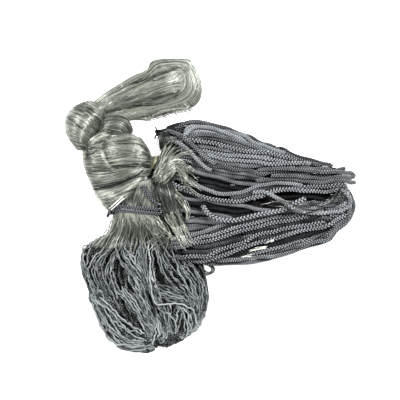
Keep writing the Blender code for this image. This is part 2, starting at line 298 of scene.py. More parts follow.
def braided_finish(name, dark, light, columns, pitch, roughness, bump, patch=(30.0, 0.3), flanks=0.15):
    """Braided yarn: two rows of slanting bumps to each pair of columns, painted light on top and painted
    shade between.

    patch: how many stains to the metre, and how strong; flanks: how much darker the line's sides are
    painted, as shade.
    """
    material = bpy.data.materials.new(name)
    material.use_nodes = True
    tree = material.node_tree
    shader = tree.nodes["Principled BSDF"]
    chart = node(tree, "ShaderNodeUVMap", -1600, 0, uv_map="run")
    parts = node(tree, "ShaderNodeSeparateXYZ", -1400, 0)
    tree.links.new(chart.outputs[0], parts.inputs[0])
    column = math_node(tree, "SUBTRACT", math_node(tree, "MULTIPLY", parts.outputs[1], columns), 0.5)
    nearest = math_node(tree, "ROUND", column)
    signed = math_node(tree, "SUBTRACT", column, nearest)
    off = math_node(tree, "ABSOLUTE", signed)
    odd = math_node(tree, "FLOORED_MODULO", nearest, 2.0)
    mirrored = math_node(tree, "SUBTRACT", 1.0, math_node(tree, "MULTIPLY", odd, 2.0))
    along = math_node(tree, "MULTIPLY", parts.outputs[0], 1.0 / pitch)
    phase = math_node(tree, "ADD", along, math_node(tree, "MULTIPLY", odd, 0.5))
    slant = math_node(tree, "MULTIPLY", math_node(tree, "MULTIPLY", signed, mirrored), BRAID_SLANT)
    phase = math_node(tree, "ADD", phase, slant)
    wave = math_node(tree, "COSINE", math_node(tree, "MULTIPLY", phase, 2 * math.pi))
    ridge = math_node(tree, "MULTIPLY_ADD", wave, 0.5)
    ridge.node.inputs[2].default_value = 0.5
    flank = math_node(tree, "SUBTRACT", 1.0, math_node(tree, "MULTIPLY", off, BRAID_FALL))
    bold = node(tree, "ShaderNodeAttribute", -1000, 300, attribute_name="bold")
    height = math_node(tree, "SUBTRACT", math_node(tree, "MULTIPLY", ridge, flank), 0.4)
    height = math_node(tree, "MULTIPLY", height, bold.outputs["Fac"])

    # from dark to light: the tops of the bumps, painted light with painted shade between them, the yarn's
    # grain, the strand's own tone, stains, and the top of the line painted lighter than its sides, which
    # get painted shade
    places = node(tree, "ShaderNodeTexCoord", -1000, -300).outputs["Object"]
    yarn = noise_node(tree, places, 900.0, 3.0, y=-300)
    dirt = noise_node(tree, places, patch[0], y=-500)
    tone = node(tree, "ShaderNodeAttribute", -800, -700, attribute_name="tone")
    level = math_node(tree, "ADD", math_node(tree, "MULTIPLY", height, 1.2),
                      math_node(tree, "MULTIPLY", yarn.outputs["Fac"], 0.3))
    stain = math_node(tree, "MULTIPLY", math_node(tree, "SUBTRACT", dirt.outputs["Fac"], 0.5), patch[1])
    shift = math_node(tree, "ADD", math_node(tree, "MULTIPLY", tone.outputs["Fac"], 0.85), stain)
    level = math_node(tree, "ADD", level, math_node(tree, "SUBTRACT", shift, 0.37))
    # painted light on the top of the line and painted shade on its sides, by how far round it each place is
    top = math_node(tree, "SINE", math_node(tree, "MULTIPLY", parts.outputs[1], 2 * math.pi))
    side = math_node(tree, "MULTIPLY", math_node(tree, "SUBTRACT", top, 0.7), flanks)
    level = math_node(tree, "ADD", level, side)
    colour_ramp(tree, level, ((0.05, dark), (0.95, light)), shader.inputs["Base Color"])
    shader.inputs["Roughness"].default_value = roughness
    shader.inputs["Specular IOR Level"].default_value = 0.12
    relief = math_node(tree, "ADD", height, math_node(tree, "MULTIPLY", yarn.outputs["Fac"], 0.35))
    bump_node(tree, relief, 1.0, bump, shader.inputs["Normal"])
    return material


float_line_finish = braided_finish("float_line_braid", (0.003, 0.0034, 0.004, 1.0),
                                   (0.25, 0.265, 0.28, 1.0), BRAID_COLUMNS, BRAID_PITCH, 0.72, 0.0008,
                                   (60.0, 0.7))

loose_end_run = run_through(LOOSE_END_ROUTE, BRAID_RING)
loose_end = strands("float_line_loose_end", [loose_end_run], FLOAT_LINE / 2, BRAID_SIDES, braid_relief,
                    tones=[0.85], bolds=[1.2])
loose_end.data.materials.append(float_line_finish)
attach(loose_end, "root")
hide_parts("float_line_end")

# ---------------------------------------------------------------------------------------------------
# Float line hank. About eighteen metres of the same line in long flat loops: one lot turns round at the
# upper finger of the tip, the other round its lower lobe, on a thin bed of the first turns.
Band = namedtuple("Band", "lot across level bold tone wander guides")

# across: turns side by side; level: their height along the way; bold: how plainly the braid shows; tone:
# from dark to light, and low for turns that lie deep, as painted shade; wander: how far each strays to its
# sides; guides: the routes of the first and last, and some between
FLOAT_BANDS = (
    # bed of the first turns, flat on the table, dark as painted shade
    Band("under", 15, (3.5,), 0.35, 0.1, 1.5, (
        ((-54, 95), (-23, 102), (17, 89), (58, 68), (96, 56), (136, 44), (160, 30)),
        ((-54, 52), (-15, 51), (26, 43), (64, 36), (96, 33), (128, 30), (163, 24)),
        ((-54, 17), (-15, 17), (26, 16), (64, 14), (96, 16), (128, 17), (166, 17)),
        ((-54, -18), (-15, -18), (26, -16), (64, -13), (96, -8), (128, -3), (168, 8)),
        ((-54, -50), (-15, -57), (26, -60), (64, -53), (96, -44), (128, -32), (166, -12)),
    )),
    # more of them under the two hollows, dark as painted shade
    Band("under", 10, (4.0,), 0.35, 0.08, 1.0, (
        ((-57, 44), (-31, 41), (1, 33), (26, 27), (64, 24)),
        ((-57, 21), (-31, 17), (1, 13), (33, 9), (64, 9)),
        ((-57, -3), (-31, -7), (1, -8), (33, -10), (64, -7)),
    )),
    # second and third turns, under the upper lot, dark as painted shade
    Band("under", 7, (9.0,), 0.35, 0.15, 1.5, (
        ((-54, 89), (-34, 97), (-7, 95), (26, 86), (55, 70), (72, 60), (85, 54), (96, 48)),
        ((-47, 56), (-23, 51), (1, 51), (33, 48), (58, 43), (72, 41), (85, 40), (96, 40)),
    )),
    Band("under", 4, (15.0,), 0.35, 0.18, 1.5, (
        ((-50, 86), (-31, 92), (-3, 91), (26, 83), (48, 72), (64, 64), (77, 56)),
        ((-44, 64), (-22, 60), (4, 57), (29, 53), (48, 50), (64, 48), (77, 45)),
    )),
    Band("under", 2, (7.0,), 0.35, 0.3, 0.5, (
        ((80, 44), (96, 48), (112, 47), (128, 44), (141, 41), (152, 39), (163, 36)),
        ((80, 30), (96, 32), (112, 32), (125, 31), (138, 29), (151, 28), (163, 28)),
    )),
    # second and third turns, under the lower lot, dark as painted shade
    Band("under", 9, (9.0,), 0.35, 0.15, 1.5, (
        ((-54, -24), (-23, -26), (9, -23), (48, -18), (80, -13), (112, -8), (144, -4)),
        ((-44, -56), (-15, -62), (20, -63), (58, -58), (93, -50), (125, -38), (151, -24)),
    )),
    Band("under", 6, (15.0,), 0.35, 0.18, 1.5, (
        ((-54, -34), (-23, -34), (9, -29), (48, -23), (80, -18), (112, -13), (144, -8)),
        ((-41, -55), (-15, -61), (20, -61), (58, -55), (93, -46), (125, -34), (151, -21)),
    )),
    Band("lower", 4, (20.0,), 0.5, 0.40, 1.5, (
        ((-47, -40), (-18, -37), (13, -30), (52, -24), (84, -19), (115, -15), (144, -10)),
        ((-31, -54), (-9, -58), (20, -56), (58, -48), (93, -40), (122, -30), (147, -19)),
    )),
    # upper edge
    Band("upper", 1, (11.0,), 1.0, 0.55, 0.4, (
        ((-31, 88), (-41, 92), (-42, 100), (-34, 104), (-26, 105), (-12, 103), (1, 100), (13, 96),
         (26, 91), (39, 86), (48, 80), (58, 73), (69, 67), (80, 63), (90, 58), (103, 55), (114, 53),
         (125, 50), (135, 47), (143, 41)),
    )),
    Band("upper", 1, (8.0,), 0.9, 0.45, 0.4, (
        ((68, 63), (79, 62), (87, 61), (96, 58), (106, 56), (117, 53), (128, 50), (138, 46), (143, 43),
         (151, 40)),
    )),
    # smooth, flattened turns under it
    Band("upper", 3, (17.0, 18.0, 18.0, 16.0, 12.0), 0.75, 0.9, 0.4, (
        ((-34, 87), (-33, 94), (-27, 99), (-15, 99), (1, 95), (17, 90), (29, 86), (42, 79), (55, 72),
         (68, 65), (80, 60), (93, 57)),
        ((-33, 83), (-30, 89), (-24, 94), (-14, 94), (1, 91), (17, 87), (29, 81), (42, 76), (55, 69),
         (68, 63), (80, 58), (93, 55)),
    )),
    Band("upper", 2, (18.0, 20.0, 20.0, 18.0, 12.0), 0.7, 0.62, 0.6, (
        ((-39, 78), (-23, 89), (-11, 91), (4, 89), (20, 85), (36, 79), (48, 74), (60, 68), (72, 62),
         (85, 57), (98, 55)),
        ((-36, 72), (-22, 81), (-9, 84), (4, 83), (20, 79), (36, 75), (48, 71), (60, 65), (72, 60),
         (85, 56), (98, 53)),
    )),
    # bold turns of the upper lot
    Band("upper", 2, (20.0, 23.0, 23.0, 22.0, 20.0, 12.0), 1.3, 0.76, 0.8, (
        ((-39, 80), (-20, 81), (1, 79), (17, 76), (33, 72), (48, 68), (64, 64), (80, 58), (96, 55),
         (106, 52)),
        ((-38, 67), (-18, 67), (1, 65), (20, 64), (33, 63), (48, 62), (64, 60), (80, 56), (96, 53),
         (106, 50)),
    )),
    Band("upper", 3, (20.0, 24.0, 24.0, 23.0, 20.0, 14.0), 1.1, 0.64, 0.8, (
        ((-39, 67), (-17, 63), (5, 58), (20, 56), (36, 55), (52, 53), (68, 52), (80, 52), (96, 52),
         (111, 49), (125, 46)),
        ((-38, 59), (-15, 56), (5, 53), (20, 50), (36, 48), (52, 46), (68, 45), (80, 46), (96, 47),
         (111, 45), (125, 42)),
    )),
    # two that come down over the upper left corner
    Band("upper", 2, (22.0, 27.0, 28.0, 27.0, 24.0), 0.9, 0.75, 0.3, (
        ((-54, 93), (-39, 90), (-26, 80), (-15, 68), (-6, 59), (7, 52)),
        ((-54, 87), (-42, 82), (-31, 72), (-20, 61), (-11, 52), (1, 47)),
    )),
    # smooth turns over the upper hollow, turned back under themselves
    Band("upper", 2, (17.0, 18.0, 17.0, 12.0), 0.35, 0.78, 0.4, (
        ((-39, 59), (-15, 52), (4, 49), (20, 45), (36, 43), (52, 41), (63, 39), (67, 35)),
        ((-39, 52), (-15, 47), (4, 43), (17, 40), (33, 36), (45, 34), (58, 32), (66, 33)),
    )),
    Band("upper", 1, (11.0,), 0.35, 0.62, 0.3, (
        ((-39, 48), (-23, 43), (-6, 37), (9, 34), (23, 30), (36, 27), (48, 24), (61, 23), (74, 27)),
    )),
    # a deep one, dark as painted shade
    Band("under", 1, (6.0,), 0.3, 0.2, 0.3, (
        ((-39, 36), (-22, 33), (-3, 29), (13, 24), (29, 20), (45, 19), (64, 22)),
    )),
    # turns that run on to the upper finger
    Band("upper", 1, (22.0, 21.0, 17.0, 15.0, 14.0, 14.0, 16.0, 19.0, 20.0), 0.75, 0.72, 0.2, (
        ((58, 47), (74, 47), (88, 47), (104, 47), (120, 45), (136, 43), (149, 41), (160, 41), (173, 41),
         (183, 40), (188, 37), (186, 35), (176, 34), (165, 34), (151, 34), (136, 36), (120, 38), (104, 40),
         (88, 41), (74, 41)),
    )),
    Band("upper", 1, (22.0, 21.0, 19.0, 17.0, 14.0, 12.0), 0.75, 0.66, 0.2, (
        ((58, 32), (74, 34), (88, 35), (104, 33), (120, 31), (136, 28), (149, 27), (160, 28), (171, 29),
         (182, 29)),
    )),
    Band("upper", 1, (15.0,), 0.6, 0.6, 0.3, (
        ((96, 51), (106, 49), (115, 47), (128, 45), (141, 42), (152, 40)),
    )),
    Band("upper", 1, (17.0,), 0.6, 0.6, 0.3, (
        ((135, 38), (146, 40), (155, 42), (163, 44), (169, 46)),
    )),
    # bold turns between the two hollows
    Band("upper", 1, (22.0, 25.0, 27.0, 27.0, 24.0, 19.0), 1.3, 0.8, 0.3, (
        ((-44, 36), (-31, 32), (-20, 27), (-11, 22), (1, 17), (13, 14), (26, 13), (39, 14), (48, 17),
         (60, 23), (71, 27), (80, 29), (93, 29), (106, 27), (117, 23), (128, 17)),
    )),
    Band("upper", 1, (20.0, 24.0, 26.0, 26.0, 24.0, 18.0), 1.3, 0.74, 0.3, (
        ((-49, 28), (-38, 24), (-26, 17), (-14, 11), (-1, 7), (13, 5), (26, 6), (39, 8), (52, 12),
         (64, 15), (77, 18), (90, 20), (106, 21), (125, 20), (144, 20), (163, 23)),
    )),
    Band("upper", 2, (19.0, 21.0, 22.0, 19.0), 0.9, 0.48, 0.4, (
        ((26, 9), (39, 11), (52, 16), (64, 21), (77, 24), (90, 25), (106, 24), (125, 24), (144, 24),
         (163, 24)),
        ((26, 8), (39, 9), (52, 14), (64, 17), (77, 20), (90, 22), (106, 22), (125, 22), (144, 22),
         (165, 23)),
    )),
    # turns in the lower hollow
    Band("under", 1, (6.0,), 0.35, 0.72, 0.3, (
        ((-39, 8), (-15, 5), (5, 3), (20, 2), (33, 1), (48, -1), (61, -4), (74, -6), (88, -7)),
    )),
    # deep ones, dark as painted shade
    Band("under", 2, (4.0,), 0.35, 0.1, 0.5, (
        ((-39, 1), (-15, -3), (9, -7), (33, -8), (56, -8), (80, -7)),
        ((-39, -8), (-15, -11), (9, -13), (33, -14), (56, -11), (80, -8)),
    )),
    # round the eye
    Band("lower", 3, (16.0, 18.0, 18.0, 14.0, 12.0), 0.8, 0.56, 0.4, (
        ((93, -8), (109, -1), (122, 1), (138, 0), (151, 0), (160, 3), (166, 7), (169, 14), (168, 19),
         (160, 22)),
        ((90, -13), (106, -8), (122, -6), (138, -5), (151, -4), (160, -1), (168, 6), (170, 13), (168, 18),
         (160, 22)),
    )),
    # crossing turn
    Band("lower", 1, (24.0, 30.0, 37.0, 39.0, 33.0, 26.0, 20.0, 16.0, 14.0), 1.2, 0.85, 0.2, (
        ((52, 17), (61, 17), (71, 15), (79, 12), (87, 7), (95, 0), (103, -5), (111, -9), (119, -11),
         (128, -12), (141, -12), (154, -8), (164, -4), (171, 3), (173, 10), (166, 17)),
    )),
    # round the lower lobe, from the outer edge inwards
    Band("lower", 7, (10.0, 13.0, 15.0, 15.0, 13.0, 8.0), 0.9, 0.62, 0.5, (
        ((157, 20), (165, 18), (171, 14), (175, 6), (174, -2), (169, -12), (160, -20), (150, -29),
         (135, -40), (119, -49), (96, -58), (72, -62), (48, -65), (25, -65), (5, -64), (-11, -61),
         (-31, -57)),
        ((155, 16), (162, 14), (167, 11), (169, 6), (168, -2), (162, -10), (153, -16), (141, -24),
         (127, -31), (111, -38), (92, -44), (72, -50), (48, -55), (25, -57), (5, -57), (-11, -53),
         (-31, -46)),
    )),
    # bold turns of the lower lot
    Band("lower", 2, (24.0, 25.0, 25.0, 22.0), 1.2, 0.74, 0.5, (
        ((-47, -42), (-30, -41), (-11, -35), (4, -30), (20, -25), (36, -22), (52, -20), (68, -16),
         (80, -12), (93, -8), (106, -6)),
        ((-46, -46), (-28, -46), (-9, -41), (5, -35), (21, -30), (37, -26), (53, -24), (69, -20),
         (84, -16), (98, -13), (114, -12)),
    )),
    Band("lower", 1, (25.0, 26.0, 26.0, 24.0, 12.0), 1.1, 0.66, 0.5, (
        ((-44, -50), (-25, -50), (-7, -46), (13, -38), (29, -33), (45, -29), (61, -25), (77, -21),
         (93, -17), (109, -15), (128, -16), (144, -14), (154, -11)),
        ((-42, -53), (-23, -53), (-4, -50), (15, -44), (31, -38), (47, -34), (63, -30), (79, -26),
         (95, -22), (111, -20), (128, -19), (144, -16), (155, -14)),
    )),
    Band("lower", 2, (14.0, 24.0, 25.0, 25.0, 25.0, 22.0, 12.0), 1.3, 0.68, 0.6, (
        ((-39, -56), (-20, -60), (-3, -59), (17, -54), (34, -47), (52, -40), (68, -35), (84, -32),
         (100, -29), (115, -25), (131, -22), (147, -17), (158, -12), (165, -8)),
        ((-34, -59), (-15, -63), (1, -64), (20, -62), (39, -55), (56, -47), (72, -42), (88, -38),
         (104, -34), (120, -30), (136, -25), (152, -19), (163, -12), (169, -8)),
    )),
    # smooth turns at the left, under the loose end
    Band("lower", 2, (14.0, 15.0, 15.0, 12.0), 0.35, 0.62, 0.4, (
        ((-47, -5), (-31, -7), (-15, -8), (-1, -9), (10, -15), (26, -21)),
        ((-47, -13), (-31, -15), (-15, -16), (-1, -17), (10, -21), (26, -24)),
    )),
    Band("lower", 3, (15.0, 18.0, 18.0, 15.0), 0.5, 0.6, 0.3, (
        ((-47, -21), (-33, -21), (-20, -20), (-7, -20), (5, -23), (20, -29)),
        ((-47, -32), (-33, -32), (-20, -29), (-7, -28), (5, -29), (20, -34)),
    )),
    # one between the bold turns of the upper lot
    Band("upper", 1, (18.0, 21.0, 21.0, 20.0, 18.0, 11.0), 1.1, 0.6, 0.3, (
        ((-39, 74), (-20, 74), (1, 72), (17, 70), (33, 68), (48, 65), (64, 62), (80, 57)),
    )),
    # two deeper ones between those of the lower lot
    Band("lower", 2, (16.0, 18.0, 18.0, 16.0), 0.7, 0.42, 0.4, (
        ((-30, -53), (-8, -53), (12, -46), (30, -40), (48, -34), (66, -28), (82, -25)),
        ((-26, -56), (-5, -57), (15, -52), (33, -46), (51, -40), (69, -34), (85, -31)),
    )),
    # and two more of the first ones, between the hollows, dark as painted shade
    Band("under", 2, (6.0,), 0.35, 0.08, 0.3, (
        ((55, 16), (75, 15), (96, 15), (118, 16), (142, 17)),
        ((55, 8), (75, 10), (96, 11), (118, 12), (142, 13)),
    )),
)
SETTLE_POINT_GAP = 3.0
FLOAT_CORE = 0.44  # radius to the middle of the braid's bumps, in diameters of the line
CELL_SPAN = 1000  # number of cells each way that near_pairs can tell apart
OWN_REACH = 6  # points of a strand nearer to each other than so many aren't held apart


def soft_noise(count, seed, waves):
    """A smooth random line of this many values between about -1 and 1, of so many half waves."""
    chance = np.random.default_rng(seed)
    t = np.linspace(0.0, 1.0, count)
    value = np.zeros(count)
    for wave in range(1, waves + 1):
        value += chance.normal() / wave * np.sin(2 * math.pi * (wave * t * 0.5 + chance.random()))
    return value / 1.3


def near_pairs(places, reach):
    """Pairs of places nearer than reach, found in cells of that size."""
    cells = np.floor(places / reach).astype(np.int64) + CELL_SPAN // 2
    key = (cells[:, 0] * CELL_SPAN + cells[:, 1]) * CELL_SPAN + cells[:, 2]
    order = np.argsort(key, kind="stable")
    ranked = key[order]
    firsts, seconds = [], []
    for dx in (-1, 0, 1):
        for dy in (-1, 0, 1):
            for dz in (-1, 0, 1):
                offset = (dx * CELL_SPAN + dy) * CELL_SPAN + dz
                if offset < 0:
                    continue
                low = np.searchsorted(ranked, key + offset, "left")
                high = np.searchsorted(ranked, key + offset, "right")
                counts = high - low
                total = counts.sum()
                if not total:
                    continue
                i = np.repeat(np.arange(len(key)), counts)
                before = np.cumsum(counts) - counts
                j = order[np.repeat(low - before, counts) + np.arange(total)]
                if offset == 0:
                    keep = i < j
                    i, j = i[keep], j[keep]
                firsts.append(i)
                seconds.append(j)
    i, j = np.concatenate(firsts), np.concatenate(seconds)
    close = ((places[i] - places[j]) ** 2).sum(1) < reach * reach
    return i[close], j[close]


def settle(runs, radius, rounds, hold, drop, soften, fixed=()):
    """Lets the strands sink until they rest on each other and on the table, near their own routes.

    hold: share of the way back to its route that each point is drawn in a round; drop: how far it sinks;
    soften: how much bends are evened out; fixed: strands that stay where they are.
    """
    everything = [*runs, *fixed]
    sizes = [len(run) for run in everything]
    places = np.vstack(everything)
    strand = np.repeat(np.arange(len(sizes)), sizes)
    index = np.concatenate([np.arange(size) for size in sizes])
    movable = (strand < len(runs)).astype(float)[:, None]
    home = places.copy()
    last = np.repeat(sizes, sizes) - 1
    middle = np.flatnonzero((index > 0) & (index < last))
    for turn in range(rounds):
        ease = max(0.0, 1.0 - turn / (0.7 * rounds))
        places[:, 2] -= drop * ease * movable[:, 0]
        places[:, :2] += hold * ease * (home - places)[:, :2] * movable
        smooth = 0.5 * (places[middle - 1] + places[middle + 1]) - places[middle]
        places[middle] += smooth * movable[middle] * (soften, soften, max(soften, 0.15))
        i, j = near_pairs(places, 2.3 * radius)
        apart = (strand[i] != strand[j]) | (np.abs(index[i] - index[j]) > OWN_REACH)
        i, j = i[apart], j[apart]
        # each of two turns moves half the way out of the other, and sooner up than to its side
        share = np.where((movable[i] * movable[j])[:, 0] > 0, 0.5, 1.0)
        for _ in range(5):
            gap = places[i] - places[j]
            length = np.linalg.norm(gap, axis=1) + 1e-6
            deep = np.maximum(0.0, 2 * radius - length)
            push = gap * (deep * share / length)[:, None] * (0.6, 0.6, 1.3)
            hits = np.bincount(i, deep > 0, len(places)) + np.bincount(j, deep > 0, len(places))
            move = np.stack([np.bincount(i, way, len(places)) - np.bincount(j, way, len(places))
                             for way in push.T], axis=1)
            places += 1.3 * move / np.maximum(1.0, hits)[:, None] * movable
            places[:, 2] = np.maximum(places[:, 2], radius)
    return np.split(places, np.cumsum(sizes))[:len(runs)]


def kinks(count, seed, every):
    """Uneven side steps, between about -1 and 1, with a new one after each so many values."""
    chance = np.random.default_rng(seed)
    knots = chance.normal(size=max(4, round(count / every) + 2)) * 0.6
    return smooth_between(knots, np.linspace(0, len(knots) - 1, count))


def band_runs(band, seed, pitch, lift, ripple, kink=0.0, cross=0.0):
    """The routes of a band's turns, side by side between its guides, each wandering a little.

    pitch: between points; lift: how much a turn rises and dips; ripple: length of its wanderings; kink:
    depth of its kinks; cross: how far its two ends may change places with its neighbours'.
    """
    chance = np.random.default_rng(seed)
    guides = np.array(band.guides, float)
    stations = np.arange(guides.shape[1])
    runs = []
    for number in range(band.across):
        share = number / max(1, band.across - 1) * (len(guides) - 1)
        shares = share + cross * chance.normal() * (stations / stations[-1] - 0.5)
        shares = np.clip(shares, 0.0, len(guides) - 1.0)
        route = smooth_between(guides, shares)[stations, stations] if len(guides) > 1 else guides[0]
        flat = run_through(np.column_stack([route, np.zeros(len(route))]), pitch)
        count = len(flat)
        ahead = np.gradient(flat, axis=0)
        ahead /= np.linalg.norm(ahead, axis=1)[:, None]
        side = np.column_stack([-ahead[:, 1], ahead[:, 0], np.zeros(count)])
        key = seed * 100 + number  # with the steps below, a chance of its own for each thing
        step = band.wander * soft_noise(count, key, max(2, round(count * pitch / ripple)))
        if kink:
            step = step + kink * kinks(count, key + 20, 4.5 / pitch)
        flat = flat + side * step[:, None]
        level = np.interp(np.linspace(0, 1, count), np.linspace(0, 1, len(band.level)), band.level)
        bob = lift * soft_noise(count, key + 50, 4)
        flat[:, 2] = level + bob + 0.7 * kink * kinks(count, key + 70, 7.0 / pitch)
        runs.append(flat)
    return runs


float_runs, float_bands = [], []
for number, band in enumerate(FLOAT_BANDS):
    made = band_runs(band, number + 1, SETTLE_POINT_GAP, 0.8, 60.0)
    float_runs += made
    float_bands += [band] * len(made)
float_runs = settle(float_runs, FLOAT_LINE / 2, rounds=70, hold=0.08, drop=0.5, soften=0.25,
                    fixed=[run_through(LOOSE_END_ROUTE, SETTLE_POINT_GAP)])

chance = np.random.default_rng(5)
for lot, pitch, sides, relief in (
    ("upper", BRAID_RING, BRAID_SIDES, braid_relief),
    ("lower", BRAID_RING, BRAID_SIDES, braid_relief),
    ("under", 2.0, 10, None),
):
    picked = [(run, band) for run, band in zip(float_runs, float_bands) if band.lot == lot]
    made = strands(f"float_line_{lot}_turns", [run_through(run, pitch) for run, _ in picked],
                   FLOAT_CORE * FLOAT_LINE, sides, relief,
                   tones=[band.tone + chance.normal() * 0.13 for _, band in picked],
                   bolds=[band.bold * (1.0 + 0.15 * chance.normal()) for _, band in picked])
    made.data.materials.append(float_line_finish)
    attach(made, "root")
    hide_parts("float_line_hank")

# ---------------------------------------------------------------------------------------------------
# Lead line hank. About twenty-seven metres of thin kinked line, wound into a round skein: inner turns
# that fill it, painted dark as the shade deep in the skein, and over them lots of lighter ones that run
# down from the neck and gather at the bottom, with one long arc on top.
LEAD_LINE = 2.4  # a 3 mm line, pressed together in the skein
INNER_FULLNESS = 1.65  # the inner turns are drawn so much thicker that no table shows between them
LEAD_POINT_GAP = 1.7
LEAD_CROSSING = 0.85  # how far the outer turns change places with their neighbours
LEAD_BED = (
    ((-109, -32), (-133, -41), (-156, -55), (-160, -74), (-155, -96), (-149, -115), (-141, -142),
     (-126, -165), (-107, -178), (-78, -181)),
    ((-94, -32), (-107, -47), (-120, -66), (-126, -85), (-122, -106), (-113, -127), (-101, -146),
     (-90, -161), (-80, -172), (-75, -178)),
    ((-78, -32), (-84, -49), (-90, -68), (-90, -87), (-84, -108), (-78, -127), (-73, -146), (-71, -161),
     (-71, -170), (-72, -176)),
    ((-61, -32), (-58, -49), (-50, -68), (-41, -87), (-33, -104), (-29, -121), (-31, -138), (-39, -153),
     (-48, -165), (-63, -174)),
    ((-44, -34), (-29, -51), (-16, -68), (-8, -85), (-6, -102), (-6, -119), (-11, -136), (-20, -151),
     (-33, -163), (-52, -171)),
)
LEAD_MASS = (
    ((-107, -32), (-130, -41), (-150, -56), (-155, -75), (-149, -96), (-143, -115), (-134, -140),
     (-120, -161), (-103, -173), (-78, -177)),
    ((-94, -32), (-105, -47), (-117, -66), (-122, -85), (-118, -106), (-110, -127), (-99, -145),
     (-89, -159), (-80, -170), (-75, -175)),
    ((-78, -32), (-84, -49), (-89, -68), (-89, -87), (-84, -108), (-78, -127), (-73, -145), (-71, -159),
     (-71, -168), (-72, -173)),
    ((-62, -32), (-60, -49), (-53, -68), (-44, -87), (-37, -104), (-34, -121), (-36, -137), (-42, -151),
     (-51, -162), (-64, -171)),
    ((-46, -34), (-33, -51), (-22, -68), (-14, -85), (-12, -102), (-13, -119), (-17, -135), (-25, -148),
     (-37, -159), (-54, -167)),
)
